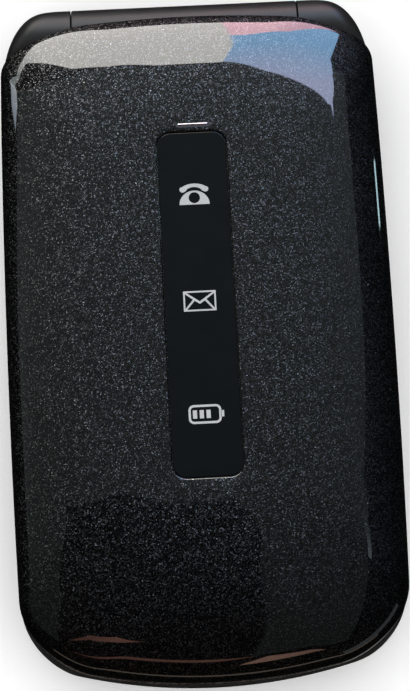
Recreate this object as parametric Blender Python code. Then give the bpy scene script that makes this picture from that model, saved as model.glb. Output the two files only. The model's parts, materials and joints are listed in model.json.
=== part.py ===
"""Clamshell mobile phone, shown closed and lying on its back.

Sizes are in millimetres and become metres when a mesh is made. X runs across the phone,
+Y points to the hinge end and +Z out of the lid. The origin is the middle of the outer
box, at the bottom. The base stays still, and the lid turns about the barrel at +Y.
"""

import math

import bmesh
import bpy
from mathutils import Vector

MM = 0.001

# Driving dimensions of the closed phone.
BODY_WIDTH = 55.0
BODY_LENGTH = 99.0
BASE_TOP = 11.0
LID_GAP = 0.5
LID_HEIGHT = 8.0
SIDE_BOW = 0.7
FRONT_CORNER = (7.3, 10.6)
FRONT_CROWN = 4.8
REAR_CORNER = (6.8, 11.6)
WALL = 1.5
GAP = 0.3

# How finely the plan outline is divided: each half end, each corner and each side.
END_STEPS = 4
CORNER_STEPS = 6
SIDE_STEPS = 5

# Hinge: the barrel lies along X, a knuckle of the lid between two ears of the base.
HINGE_RADIUS = 4.4
HINGE_Y = BODY_LENGTH / 2 - HINGE_RADIUS
HINGE_Z = 11.2
HINGE_CLEARANCE = 0.4
KNUCKLE_HALF = 16.4
EAR_START = 16.8
EAR_BORE = 2.7
EAR_BORE_END = 22.8

# Base: the two housings part at this height, and the battery cover closes the back.
REAR_TOP = 5.2
FRONT_BOTTOM = REAR_TOP + GAP
PLATE_UNDERSIDE = 9.8
CAVITY_REAR = HINGE_Y - 6.3
REAR_HOUSING_END = HINGE_Y + 3.0
BACK_ROUND = 6.0
COVER_TOP = 3.0
COVER_END = 12.0
COVER_THICKNESS = 1.1
BAY_FLOOR_TOP = 4.3
BOSSES = ((-21.0, -39.0), (21.0, -39.0), (-20.0, 36.8), (20.0, 36.8))

# Lid: the inner frame carries the screen and the knuckle, the outer cover is a pillow.
LID_BOTTOM = BASE_TOP + LID_GAP
FRAME_TOP = 13.7
LID_TOP = LID_BOTTOM + LID_HEIGHT
LID_FRONT = -BODY_LENGTH / 2 + 0.5
LID_REAR = 47.2
LID_FRONT_CORNER = (9.0, 10.6)
LID_REAR_CORNER = (11.0, 7.0)
LID_REAR_CROWN = 2.5
PILLOW_START = 13.6
PILLOW_REACH = 13.0
SCREEN = (33.0, 44.0)
SCREEN_Y = 2.0
WINDOW = (9.7, 49.2)
WINDOW_Y = 3.36
WINDOW_CORNER = 1.9
LIGHT_BAR = (4.6, 0.7)
LIGHT_BAR_Y = 29.0
LID_SCREWS = ((-20.8, 32.0), (20.8, 32.0))
BUMPERS = ((-19.0, -43.0), (19.0, -43.0))

# Keys: the tops stand a little above the plate and stay under the closed lid.
KEY_TOP = 11.25
KEY_FLANGE_BOTTOM = 9.05
KEY_FLANGE_TOP = 9.45
DIGIT_KEY = (13.0, 9.4)
DIGIT_PITCH = (15.0, 11.8)
DIGIT_TOP_ROW = 7.6
KEY_CORNER = 2.4
NAV_CENTRE = (0.0, 26.0)
NAV_SIZE = (15.0, 17.6)
NAV_CORNER = 5.0
NAV_TOP = 11.1

# Volume rocker, in the right side of the base.
ROCKER_Y = 19.2
ROCKER_LENGTH = 15.0
ROCKER_Z = 7.9
ROCKER_HEIGHT = 3.0

# Vibration motor, which lies along X.
MOTOR_AXIS = (25.0, 3.6)

COLOURS = {
    "cover_paint": ((0.035, 0.036, 0.040), 0.22, 0.35),
    "window": ((0.006, 0.007, 0.011), 0.06, 0.0),
    "light_guide": ((0.80, 0.82, 0.84), 0.35, 0.0),
    "metal_trim": ((0.75, 0.76, 0.78), 0.25, 1.0),
    "dark_plastic": ((0.030, 0.030, 0.033), 0.45, 0.0),
    "key_plastic": ((0.58, 0.59, 0.61), 0.35, 0.0),
    "call_green": ((0.05, 0.42, 0.14), 0.35, 0.0),
    "end_red": ((0.55, 0.05, 0.05), 0.35, 0.0),
    "screen": ((0.010, 0.012, 0.018), 0.05, 0.0),
    "board_green": ((0.02, 0.16, 0.07), 0.50, 0.0),
    "steel": ((0.60, 0.60, 0.62), 0.30, 1.0),
    "brass": ((0.72, 0.54, 0.24), 0.35, 1.0),
    "rubber": ((0.020, 0.020, 0.020), 0.85, 0.0),
    "battery_label": ((0.10, 0.11, 0.13), 0.50, 0.0),
    "flex_amber": ((0.55, 0.25, 0.05), 0.45, 0.0),
}


# ---------------------------------------------------------------- helpers

def clear_scene():
    for old in list(bpy.data.objects):
        bpy.data.objects.remove(old, do_unlink=True)


def material(name):
    found = bpy.data.materials.get(name)
    if found:
        return found
    colour, roughness, metallic = COLOURS[name]
    made = bpy.data.materials.new(name)
    made.use_nodes = True
    shader = made.node_tree.nodes["Principled BSDF"]
    shader.inputs["Base Color"].default_value = (*colour, 1.0)
    shader.inputs["Roughness"].default_value = roughness
    shader.inputs["Metallic"].default_value = metallic
    made.diffuse_color = (*colour, 1.0)
    return made


def add_object(name, bm, origin=(0, 0, 0), parent=None):
    """A mesh object made from a bmesh in millimetres, with its origin at the given point."""
    bmesh.ops.recalc_face_normals(bm, faces=bm.faces)
    origin = Vector(origin)
    for vertex in bm.verts:
        vertex.co = (vertex.co - origin) * MM
    mesh = bpy.data.meshes.new(name)
    bm.to_mesh(mesh)
    bm.free()
    obj = bpy.data.objects.new(name, mesh)
    bpy.context.scene.collection.objects.link(obj)
    obj.location = origin * MM
    if parent:
        obj.parent = parent
        obj.location = origin * MM - parent.location
    return obj


def node(name, bm, slot, origin=(0, 0, 0), parent=None):
    """A sub-part: a named object with its own material, smooth where its faces nearly agree."""
    obj = add_object(name, bm, origin, parent)
    obj.data.materials.append(material(slot))
    obj.data.shade_smooth()
    obj.data.set_sharp_from_angle(angle=math.radians(35))
    return obj


def boolean(obj, cutter_bm, operation="DIFFERENCE"):
    """Cuts or joins obj with a helper shape, which stays in the scene as a hidden wire."""
    helper = add_object(f"{obj.name}.{operation.lower()}", cutter_bm)
    helper.hide_render = True
    helper.display_type = "WIRE"
    modifier = obj.modifiers.new(operation.title(), "BOOLEAN")
    modifier.solver = "EXACT"
    modifier.operation = operation
    modifier.object = helper
    modifier.use_self = True


def loft(bm, loops):
    """A closed skin through loops of points with equal counts, capped at both ends."""
    rings = [[bm.verts.new(point) for point in loop] for loop in loops]
    count = len(rings[0])
    for lower, upper in zip(rings, rings[1:]):
        for i in range(count):
            j = (i + 1) % count
            bm.faces.new((lower[i], lower[j], upper[j], upper[i]))
    bm.faces.new(list(reversed(rings[0])))
    bm.faces.new(rings[-1])


def box(bm, x, y, z):
    """A box between the (low, high) pairs x, y and z."""
    corners = [(x[0], y[0]), (x[1], y[0]), (x[1], y[1]), (x[0], y[1])]
    loft(bm, [[(px, py, height) for px, py in corners] for height in z])


def ring_x(x, y, z, radius, segments):
    """A circle about an axis along X."""
    turns = [2 * math.pi * i / segments for i in range(segments)]
    return [(x, y + radius * math.cos(a), z + radius * math.sin(a)) for a in turns]


def turned_x(bm, profile, y=HINGE_Y, z=HINGE_Z, segments=28):
    """A turned piece about an axis along X, from (x, radius) pairs."""
    loft(bm, [ring_x(x, y, z, radius, segments) for x, radius in profile])


def turned_z(bm, x, y, profile, segments=20):
    """A turned piece about a vertical axis, from (radius, z) pairs."""
    turns = [2 * math.pi * i / segments for i in range(segments)]
    loft(bm, [[(x + radius * math.cos(a), y + radius * math.sin(a), z) for a in turns]
              for radius, z in profile])


def rounded_rectangle(centre, size, radius, steps=3):
    """Points of a rectangle with round corners, counter-clockwise."""
    half_x = size[0] / 2 - radius
    half_y = size[1] / 2 - radius
    points = []
    for quarter, (sx, sy) in enumerate(((1, 1), (-1, 1), (-1, -1), (1, -1))):
        for i in range(steps + 1):
            angle = math.pi / 2 * (quarter + i / steps)
            points.append((centre[0] + sx * half_x + radius * math.cos(angle),
                           centre[1] + sy * half_y + radius * math.sin(angle)))
    return points


def slab(bm, centre, size, radius, levels, steps=3):
    """A stack of rounded rectangles from (inset, z) pairs: a plate, a key or a pocket."""
    loft(bm, [[(x, y, z) for x, y in rounded_rectangle(
        centre, (size[0] - 2 * inset, size[1] - 2 * inset),
        max(radius - inset, 0.3), steps)] for inset, z in levels])


def body_outline(front, rear, inset=0.0, front_corner=FRONT_CORNER, rear_corner=REAR_CORNER,
                 rear_crown=0.0):
    """The phone's plan outline: bowed sides, a crowned front end and elliptical corners.

    It starts as a rectangle with elliptical corners, and each end then bends back
    towards the middle in proportion to the square of the distance from the centre line.
    """
    half_width = BODY_WIDTH / 2 - inset
    low = front + inset
    high = rear - inset
    corners = []
    for radii in (front_corner, rear_corner):
        corners.append([max(r - 0.6 * inset, 2.0) for r in radii])
    (front_x, front_y), (rear_x, rear_y) = corners
    half = []
    for i in range(END_STEPS):
        half.append(((half_width - front_x) * i / END_STEPS, low))
    for i in range(CORNER_STEPS):
        angle = math.pi / 2 * i / CORNER_STEPS
        half.append((half_width - front_x + front_x * math.sin(angle),
                     low + front_y - front_y * math.cos(angle)))
    side_start = low + front_y
    side_end = high - rear_y
    for i in range(SIDE_STEPS):
        half.append((half_width, side_start + (side_end - side_start) * i / SIDE_STEPS))
    for i in range(CORNER_STEPS):
        angle = math.pi / 2 * i / CORNER_STEPS
        half.append((half_width - rear_x + rear_x * math.cos(angle),
                     high - rear_y + rear_y * math.sin(angle)))
    for i in range(END_STEPS):
        half.append(((half_width - rear_x) * (1 - i / END_STEPS), high))
    half.append((0.0, high))
    reach = BODY_LENGTH / 2
    bent = []
    for x, y in half:
        across = (2 * x / BODY_WIDTH) ** 2
        along = min(abs(y) / reach, 1.0)
        crown = FRONT_CROWN if y < 0 else -rear_crown
        bent.append((x * (1 - 2 * SIDE_BOW / BODY_WIDTH * along ** 2),
                     y + crown * across * along ** 4))
    mirrored = [(-x, y) for x, y in reversed(bent[1:-1])]
    return bent + mirrored


def base_loop(inset, z, rear=BODY_LENGTH / 2):
    return [(x, y, z) for x, y in body_outline(-BODY_LENGTH / 2, rear, inset)]


def lid_loop(inset, z):
    outline = body_outline(LID_FRONT, LID_REAR, inset, LID_FRONT_CORNER, LID_REAR_CORNER,
                           LID_REAR_CROWN)
    return [(x, y, z) for x, y in outline]


def pillow_levels(depth, steps):
    """(inset, z) pairs of the lid's crown, a quarter ellipse, moved inwards by depth."""
    rise = LID_TOP - depth - PILLOW_START
    levels = []
    for i in range(steps + 1):
        angle = math.pi / 2 * i / steps
        levels.append((depth + (PILLOW_REACH - depth) * (1 - math.cos(angle)),
                       PILLOW_START + rise * math.sin(angle)))
    return levels


# ---------------------------------------------------------------- lid

def lid_outer_cover(parent):
    """The painted pillow shell, with bosses, a pocket for the window and the hinge notch."""
    outer = [level for level in pillow_levels(0.0, 7) if level[1] > FRAME_TOP + GAP]
    inner = [level for level in pillow_levels(WALL, 4) if level[1] > FRAME_TOP + GAP + 0.4]
    rim = FRAME_TOP + GAP
    levels = list(reversed(inner)) + [(WALL, rim), (0.05, rim)] + outer
    bm = bmesh.new()
    loft(bm, [lid_loop(inset, z) for inset, z in levels])
    cover = node("lid_outer_cover", bm, "cover_paint", parent=parent)
    bosses = bmesh.new()
    for x, y in LID_SCREWS:
        turned_z(bosses, x, y, [(2.1, rim), (2.1, 17.2)], 14)
    boolean(cover, bosses, "UNION")
    holes = bmesh.new()
    turned_x(holes, [(-30, HINGE_RADIUS + HINGE_CLEARANCE), (30, HINGE_RADIUS + HINGE_CLEARANCE)],
             segments=40)
    slab(holes, (0, WINDOW_Y), (WINDOW[0] + 2 * GAP, WINDOW[1] + 2 * GAP), WINDOW_CORNER + GAP,
         [(0, 18.6), (0, LID_TOP + 1)])
    slab(holes, (0, WINDOW_Y), (WINDOW[0] - 1.6, WINDOW[1] - 1.6), 1.2, [(0, 17.0), (0, 18.9)])
    slab(holes, (0, LIGHT_BAR_Y), (LIGHT_BAR[0] + GAP, LIGHT_BAR[1] + GAP), 0.45,
         [(0, 17.0), (0, LID_TOP + 1)])
    for x, y in LID_SCREWS:
        turned_z(holes, x, y, [(1.05, rim - 1), (1.05, 16.6)], 12)
    boolean(cover, holes)


def icon_window(parent):
    bm = bmesh.new()
    slab(bm, (0, WINDOW_Y), WINDOW, WINDOW_CORNER,
         [(0, 18.9), (0, 19.25), (0.25, LID_TOP - 0.05)], steps=4)
    node("icon_window", bm, "window", parent=parent)


def icon_light_guide(parent):
    bm = bmesh.new()
    slab(bm, (0, WINDOW_Y), (WINDOW[0] - 2.4, WINDOW[1] - 2.4), 1.0, [(0, 16.6), (0, 18.3)])
    node("icon_light_guide", bm, "light_guide", parent=parent)


def call_light_bar(parent):
    bm = bmesh.new()
    slab(bm, (0, LIGHT_BAR_Y), LIGHT_BAR, 0.3, [(0, 17.4), (0, LID_TOP - 0.1)], steps=2)
    node("call_light_bar", bm, "metal_trim", parent=parent)


def lid_inner_frame(parent):
    """The tray round the screen, in one piece with the knuckle of the hinge."""
    plate_top = 12.9
    levels = [(0.4, LID_BOTTOM), (0.05, LID_BOTTOM + 0.35), (0.05, FRAME_TOP),
              (WALL + 0.1, FRAME_TOP), (WALL + 0.1, plate_top)]
    bm = bmesh.new()
    loft(bm, [lid_loop(inset, z) for inset, z in levels])
    frame = node("lid_inner_frame", bm, "dark_plastic", parent=parent)
    knuckle = bmesh.new()
    turned_x(knuckle, [(-KNUCKLE_HALF - 0.2, HINGE_RADIUS), (KNUCKLE_HALF + 0.2, HINGE_RADIUS)],
             segments=40)
    boolean(frame, knuckle, "UNION")
    notches = bmesh.new()
    for low, high in ((-30.0, -KNUCKLE_HALF), (KNUCKLE_HALF, 30.0)):
        turned_x(notches, [(low, HINGE_RADIUS + HINGE_CLEARANCE),
                           (high, HINGE_RADIUS + HINGE_CLEARANCE)], segments=40)
    boolean(frame, notches)
    holes = bmesh.new()
    turned_x(holes, [(-20, EAR_BORE), (20, EAR_BORE)], segments=24)
    box(holes, (-8.4, -1.6), (HINGE_Y - 5.0, HINGE_Y - 0.6), (13.2, 15.2))
    boolean(frame, holes)
    openings = bmesh.new()
    slab(openings, (0, SCREEN_Y), (SCREEN[0] + 5.4, SCREEN[1] + 7.4), 2.2,
         [(0, LID_BOTTOM - 1), (0, LID_BOTTOM + 1.0)])
    slab(openings, (0, SCREEN_Y), SCREEN, 1.0, [(0, LID_BOTTOM + 0.5), (0, FRAME_TOP + 1)])
    boolean(frame, openings)
    small = bmesh.new()
    for i in (-1, 0, 1):
        slab(small, (0, -37.0 - 1.6 * i), (10.0 - 2.0 * abs(i), 0.7), 0.3,
             [(0, LID_BOTTOM - 1), (0, FRAME_TOP + 1)], steps=1)
    for x, y in BUMPERS:
        turned_z(small, x, y, [(2.3, LID_BOTTOM - 1), (2.3, LID_BOTTOM + 0.7)], 16)
    for x, y in LID_SCREWS:
        turned_z(small, x, y, [(1.9, LID_BOTTOM - 1), (1.9, LID_BOTTOM + 0.8),
                               (1.1, LID_BOTTOM + 0.8), (1.1, FRAME_TOP + 1)], 16)
    boolean(frame, small)


def display_lens(parent):
    bm = bmesh.new()
    slab(bm, (0, SCREEN_Y), (SCREEN[0] + 4.8, SCREEN[1] + 6.8), 1.9,
         [(0.2, LID_BOTTOM + 0.05), (0, LID_BOTTOM + 0.25), (0, LID_BOTTOM + 0.7)])
    node("display_lens", bm, "screen", parent=parent)


def display_module(parent):
    bm = bmesh.new()
    slab(bm, (0, SCREEN_Y), (SCREEN[0] - 0.6, SCREEN[1] - 0.6), 0.7, [(0, 12.5), (0, 13.3)])
    display = node("display_module", bm, "steel", parent=parent)
    back = bmesh.new()
    slab(back, (0, SCREEN_Y - 1.5), (SCREEN[0] + 4.0, SCREEN[1] + 7.0), 0.8,
         [(0, 13.2), (0, 15.0)])
    boolean(display, back, "UNION")


def lid_circuit_board(parent):
    bm = bmesh.new()
    slab(bm, (0, 0.5), (36.4, 66.0), 2.0, [(0, 15.4), (0, 16.2)])
    node("lid_circuit_board", bm, "board_green", parent=parent)


def earpiece(parent):
    bm = bmesh.new()
    slab(bm, (0, -37.0), (13.0, 6.5), 3.0, [(0, 13.7), (0, 15.1)], steps=4)
    node("earpiece_speaker", bm, "steel", parent=parent)
    bm = bmesh.new()
    slab(bm, (0, -37.0), (12.0, 5.4), 1.0, [(0, 13.2), (0, 13.4)])
    node("earpiece_mesh", bm, "dark_plastic", parent=parent)


def closing_magnet(parent):
    bm = bmesh.new()
    slab(bm, (20.5, -24.0), (4.0, 8.0), 0.4, [(0, 13.3), (0, 14.8)], steps=1)
    node("closing_magnet", bm, "steel", parent=parent)


def lid_bumpers(parent):
    for name, (x, y) in zip(("lid_bumper_left", "lid_bumper_right"), BUMPERS):
        bm = bmesh.new()
        turned_z(bm, x, y, [(1.5, BASE_TOP + 0.08), (1.9, BASE_TOP + 0.3), (1.9, 12.0)], 16)
        node(name, bm, "rubber", parent=parent)


def screw(name, x, y, head_z, tip_z, parent=None):
    """A small screw with a cross recess; the head faces down and the tip points up."""
    bm = bmesh.new()
    turned_z(bm, x, y, [(1.2, head_z), (1.6, head_z + 0.25), (1.6, head_z + 0.7),
                        (0.75, head_z + 0.75), (0.75, tip_z - 0.5), (0.35, tip_z)], 16)
    made = node(name, bm, "steel", parent=parent)
    recess = bmesh.new()
    box(recess, (x - 0.75, x + 0.75), (y - 0.17, y + 0.17), (head_z - 0.5, head_z + 0.35))
    boolean(made, recess)
    recess = bmesh.new()
    box(recess, (x - 0.17, x + 0.17), (y - 0.75, y + 0.75), (head_z - 0.5, head_z + 0.35))
    boolean(made, recess)


def lid_screws(parent):
    for name, (x, y) in zip(("lid_screw_left", "lid_screw_right"), LID_SCREWS):
        screw(name, x, y, LID_BOTTOM + 0.05, 16.2, parent)


def hinge_cartridge(parent):
    """The spring cartridge in the knuckle, with a blind bore for the cam shaft."""
    bm = bmesh.new()
    turned_x(bm, [(8.0, 1.45), (15.9, 1.45), (15.9, 2.4), (1.6, 2.4)], segments=20)
    node("hinge_cartridge", bm, "steel", parent=parent)


def lid_flex_cable(parent):
    """The ribbon from the lid's board into the knuckle, wound once round and led out left."""
    width = (-8.0, -2.0)
    ribbon = [(-8.9, 16.7), (-5.9, 16.7), (-2.6, 14.9), (-1.1, 13.0),
              (-1.4, 12.75), (-2.8, 14.65), (-6.0, 16.45), (-8.9, 16.45)]
    bm = bmesh.new()
    loft(bm, [[(x, HINGE_Y + dy, z) for dy, z in ribbon] for x in width])
    cable = node("lid_flex_cable", bm, "flex_amber", parent=parent)
    roll = bmesh.new()
    turned_x(roll, [(-21.5, 1.2), (-9.0, 1.2), (-8.2, 2.3), (-1.9, 2.3)], segments=16)
    boolean(cable, roll, "UNION")


# ---------------------------------------------------------------- base

def ear(side):
    """One ear of the hinge: a cylinder along X trimmed to the phone's plan outline."""
    bm = bmesh.new()
    ends = sorted((side * (EAR_START - 0.3), side * (BODY_WIDTH / 2 + 1)))
    turned_x(bm, [(x, HINGE_RADIUS) for x in ends], segments=40)
    trimmed = add_object(f"ear_helper.{'right' if side > 0 else 'left'}", bm)
    trimmed.hide_render = True
    trimmed.display_type = "WIRE"
    prism = bmesh.new()
    loft(prism, [base_loop(0.15, z) for z in (0.0, LID_TOP)])
    boolean(trimmed, prism, "INTERSECT")
    return trimmed


def join_helper(obj, helper):
    modifier = obj.modifiers.new("Union", "BOOLEAN")
    modifier.solver = "EXACT"
    modifier.operation = "UNION"
    modifier.object = helper


def digit_keys():
    """(name, centre) of the twelve digit keys, row by row."""
    names = ("1", "2", "3", "4", "5", "6", "7", "8", "9", "star", "0", "hash")
    keys = []
    for i, label in enumerate(names):
        row, column = divmod(i, 3)
        keys.append((f"key_{label}", ((column - 1) * DIGIT_PITCH[0],
                                      DIGIT_TOP_ROW - row * DIGIT_PITCH[1])))
    return keys


def function_keys():
    """(name, centre, size, material) of the sliding function keys."""
    return [
        ("soft_key_left", (-15.0, 31.0), (11.0, 6.6), "key_plastic"),
        ("soft_key_right", (15.0, 31.0), (11.0, 6.6), "key_plastic"),
        ("call_key", (-15.0, 20.8), (11.0, 8.8), "call_green"),
        ("end_key", (15.0, 20.8), (11.0, 8.8), "end_red"),
    ]


def base_front_housing():
    """The upper half of the base: key plate, side walls, screw bosses and hinge ears."""
    levels = [(WALL, PLATE_UNDERSIDE), (WALL, FRONT_BOTTOM), (0.1, FRONT_BOTTOM), (0.0, 7.0),
              (0.0, BASE_TOP - 0.4), (0.4, BASE_TOP)]
    bm = bmesh.new()
    loops = []
    for i, (inset, z) in enumerate(levels):
        rear = CAVITY_REAR + WALL if i < 2 else BODY_LENGTH / 2
        loops.append(base_loop(inset, z, rear))
    loft(bm, loops)
    housing = node("base_front_housing", bm, "dark_plastic")
    behind = bmesh.new()
    box(behind, (-40, 40), (HINGE_Y, 60), (FRONT_BOTTOM - 2, BASE_TOP + 2))
    boolean(housing, behind)
    for side in (-1, 1):
        join_helper(housing, ear(side))
    bosses = bmesh.new()
    for x, y in BOSSES:
        turned_z(bosses, x, y, [(2.2, FRONT_BOTTOM), (2.2, PLATE_UNDERSIDE + 0.3)], 16)
    boolean(housing, bosses, "UNION")
    knuckle_space = bmesh.new()
    turned_x(knuckle_space, [(-EAR_START, HINGE_RADIUS + HINGE_CLEARANCE),
                             (EAR_START, HINGE_RADIUS + HINGE_CLEARANCE)], segments=40)
    boolean(housing, knuckle_space)
    bores = bmesh.new()
    turned_x(bores, [(-EAR_BORE_END, EAR_BORE), (EAR_BORE_END, EAR_BORE)], segments=24)
    for x, y in BOSSES:
        turned_z(bores, x, y, [(1.05, FRONT_BOTTOM - 1), (1.05, PLATE_UNDERSIDE)], 12)
    boolean(housing, bores)
    holes = bmesh.new()
    hole_levels = [(0, PLATE_UNDERSIDE - 1), (0, BASE_TOP + 1)]
    for _, centre in digit_keys():
        slab(holes, centre, [s + 2 * GAP for s in DIGIT_KEY], KEY_CORNER + GAP, hole_levels, 2)
    for _, centre, size, _ in function_keys():
        slab(holes, centre, [s + 2 * GAP for s in size], KEY_CORNER + GAP, hole_levels, 2)
    slab(holes, NAV_CENTRE, [s + 2 * GAP for s in NAV_SIZE], NAV_CORNER + GAP, hole_levels, 3)
    turned_z(holes, 3.0, -41.0, [(0.5, PLATE_UNDERSIDE - 1), (0.5, BASE_TOP + 1)], 10)
    boolean(housing, holes)
    sides = bmesh.new()
    box(sides, (24.0, 30.0),
        (ROCKER_Y - ROCKER_LENGTH / 2 - GAP, ROCKER_Y + ROCKER_LENGTH / 2 + GAP),
        (ROCKER_Z - ROCKER_HEIGHT / 2 - GAP, ROCKER_Z + ROCKER_HEIGHT / 2 + GAP))
    box(sides, (-30.0, -24.0), (-6.3, 1.9), (6.2, 9.2))
    boolean(housing, sides)


def base_rear_housing():
    """The lower half of the base: battery frame in front, closed back behind it."""
    back = [(BACK_ROUND * (1 - math.sin(angle)), REAR_TOP * (1 - math.cos(angle)))
            for angle in (math.pi / 2 * i / 7 for i in range(7))]
    bm = bmesh.new()
    loft(bm, [base_loop(inset, z, REAR_HOUSING_END) for inset, z in
              back + [(0.12, REAR_TOP - 0.3), (0.2, REAR_TOP)]])
    housing = node("base_rear_housing", bm, "dark_plastic")
    cover_space = bmesh.new()
    box(cover_space, (-40, 40), (-60, COVER_END + GAP), (-2, COVER_TOP + GAP))
    boolean(housing, cover_space)
    upper = bmesh.new()
    loft(upper, [[(x, min(y, 13.0), z) for x, y, z in base_loop(WALL, height, CAVITY_REAR)]
                 for height in (BAY_FLOOR_TOP, REAR_TOP + 1)])
    boolean(housing, upper)
    rear_pocket = bmesh.new()
    slab(rear_pocket, (0, 27.4), (48.0, 26.0), 2.5, [(0, 1.3), (0, REAR_TOP + 1)])
    boolean(housing, rear_pocket)
    columns = bmesh.new()
    for x, y in BOSSES[2:]:
        turned_z(columns, x, y, [(2.9, 0.6), (2.9, REAR_TOP - 0.1)], 18)
    boolean(housing, columns, "UNION")
    openings = bmesh.new()
    box(openings, (-18.7, 18.7), (-37.7, 10.7), (2.0, 7.0))
    box(openings, (-5.4, 5.4), (10.0, 15.0), (3.2, 7.0))
    for x, y in BOSSES:
        turned_z(openings, x, y, [(2.0, -1), (2.0, 3.1), (1.1, 3.3), (1.1, 7)], 16)
    turned_z(openings, 0.0, 31.0, [(3.9, -1), (3.9, 1.0), (3.0, 1.0), (3.0, 2.0)], 20)
    for i in range(4):
        slab(openings, (-13.5, 21.5 + 1.8 * i), (8.0, 0.8), 0.3, [(0, -1), (0, 2.0)], 1)
    boolean(housing, openings)


def battery_cover():
    """The sliding back cover: a thin shell with the base's own rounded edge."""
    outer = []
    inner = []
    for i in range(8):
        angle = math.acos(1 - COVER_TOP / REAR_TOP) * i / 7
        inset = BACK_ROUND * (1 - math.sin(angle))
        z = REAR_TOP * (1 - math.cos(angle))
        outer.append((inset, z))
        if z > COVER_THICKNESS:
            inner.append((inset + COVER_THICKNESS, z))
    inner = [(inner[0][0] + 1.5, COVER_THICKNESS)] + inner
    bm = bmesh.new()
    loft(bm, [base_loop(inset, z) for inset, z in inner + list(reversed(outer))])
    cover = node("battery_cover", bm, "dark_plastic", origin=(0, COVER_END, 0))
    rear = bmesh.new()
    box(rear, (-40, 40), (COVER_END, 60), (-2, 8))
    boolean(cover, rear)


def main_board():
    bm = bmesh.new()
    loft(bm, [[(x, y, z) for x, y in body_outline(
        -46.5, 37.2, 2.6, rear_corner=(3.0, 3.0))]
              for z in (7.2, 8.0)])
    board = node("main_board", bm, "board_green")
    notches = bmesh.new()
    for x, y in BOSSES:
        turned_z(notches, x, y, [(2.6, 6.0), (2.6, 9.0)], 14)
    box(notches, (-30.0, -22.0), (-6.4, 2.0), (6.0, 9.0))
    box(notches, (23.6, 30.0),
        (ROCKER_Y - ROCKER_LENGTH / 2 - 1.4, ROCKER_Y + ROCKER_LENGTH / 2 + 1.4), (6.0, 9.0))
    boolean(board, notches)


def keypad_sheet():
    bm = bmesh.new()
    slab(bm, (0, 1.2), (43.6, 70.0), 2.0, [(0, 8.3), (0, 8.6)])
    sheet = node("keypad_sheet", bm, "rubber")
    notches = bmesh.new()
    for x, y in BOSSES[2:]:
        turned_z(notches, x, y, [(2.7, 8.0), (2.7, 9.0)], 14)
    boolean(sheet, notches)


def base_electronics():
    plain = (
        ("sim_holder", (10.0, -12.0), (14.0, 16.0), (5.7, 6.9), "steel"),
        ("shield_can", (-9.0, -16.0), (20.0, 26.0), (5.7, 6.9), "steel"),
        ("battery_contacts", (0.0, 13.9), (10.0, 5.6), (3.6, 6.9), "brass"),
        ("loudspeaker", (-13.5, 24.2), (11.5, 11.5), (1.7, 5.0), "steel"),
        ("microphone", (3.0, -41.0), (4.0, 3.0), (8.3, 9.5), "steel"),
        ("antenna", (0.0, CAVITY_REAR - 0.1), (30.0, 1.6), (1.8, 4.6), "brass"),
    )
    for name, centre, size, levels, slot in plain:
        bm = bmesh.new()
        slab(bm, centre, size, 0.5, [(0, levels[0]), (0, levels[1])], 1)
        node(name, bm, slot)


def battery():
    bm = bmesh.new()
    slab(bm, (0.0, -13.5), (36.6, 47.6), 1.6,
         [(0.4, 1.5), (0.0, 1.9), (0.0, 4.9), (0.4, 5.3)])
    node("battery", bm, "battery_label")


def camera():
    bm = bmesh.new()
    slab(bm, (0.0, 31.0), (8.0, 8.0), 0.5, [(0, 1.7), (0, 5.6)], 1)
    node("camera_module", bm, "dark_plastic")
    bm = bmesh.new()
    turned_z(bm, 0.0, 31.0, [(3.3, 0.1), (3.6, 0.3), (3.6, 0.85)], 24)
    node("camera_window", bm, "window")


def vibration_motor():
    y, z = MOTOR_AXIS
    bm = bmesh.new()
    turned_x(bm, [(8.0, 1.9), (14.5, 1.9), (14.5, 0.35), (18.0, 0.35)], y, z, 18)
    node("vibration_motor", bm, "steel")
    bm = bmesh.new()
    half_disc = [(1.7 * math.cos(a), 1.7 * math.sin(a))
                 for a in (math.pi * (1 + i / 8) for i in range(9))]
    outline = half_disc + [(0.9, 0.8), (-0.9, 0.8)]
    loft(bm, [[(x, y + dy, z + dz) for dy, dz in outline] for x in (15.0, 17.6)])
    weight = node("motor_weight", bm, "brass", origin=(16.3, y, z))
    bore = bmesh.new()
    turned_x(bore, [(14.5, 0.45), (18.2, 0.45)], y, z, 12)
    boolean(weight, bore)


def usb_port():
    """The shell of the charging socket, with its tongue, opening to the left."""
    bm = bmesh.new()
    box(bm, (-26.9, -22.4), (-5.9, 1.5), (6.5, 8.9))
    port = node("usb_port", bm, "steel")
    mouth = bmesh.new()
    box(mouth, (-28.0, -22.9), (-5.5, 1.1), (6.9, 8.5))
    boolean(port, mouth)
    tongue = bmesh.new()
    box(tongue, (-26.2, -22.7), (-4.4, 0.0), (7.5, 7.9))
    boolean(port, tongue, "UNION")


def base_screws():
    for i, (x, y) in enumerate(BOSSES):
        screw(f"base_screw_{i + 1}", x, y, 2.2, 9.0)


def hinge_pins():
    """The cam shaft in the right ear and the hollow pivot pin in the left ear."""
    bm = bmesh.new()
    turned_x(bm, [(8.4, 1.15), (16.3, 1.15), (16.3, 2.4), (22.4, 2.4)], segments=20)
    node("hinge_cam_shaft", bm, "steel")
    bm = bmesh.new()
    inner, outer = 1.55, 2.4
    rings = [ring_x(x, HINGE_Y, HINGE_Z, r, 20)
             for x, r in ((-22.4, inner), (-22.4, outer), (-10.0, outer), (-10.0, inner))]
    verts = [[bm.verts.new(point) for point in ring] for ring in rings]
    for a, b in zip(verts, verts[1:] + verts[:1]):
        for i in range(20):
            j = (i + 1) % 20
            bm.faces.new((a[i], a[j], b[j], b[i]))
    node("hinge_pivot_pin", bm, "steel")


# ---------------------------------------------------------------- keys

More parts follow.
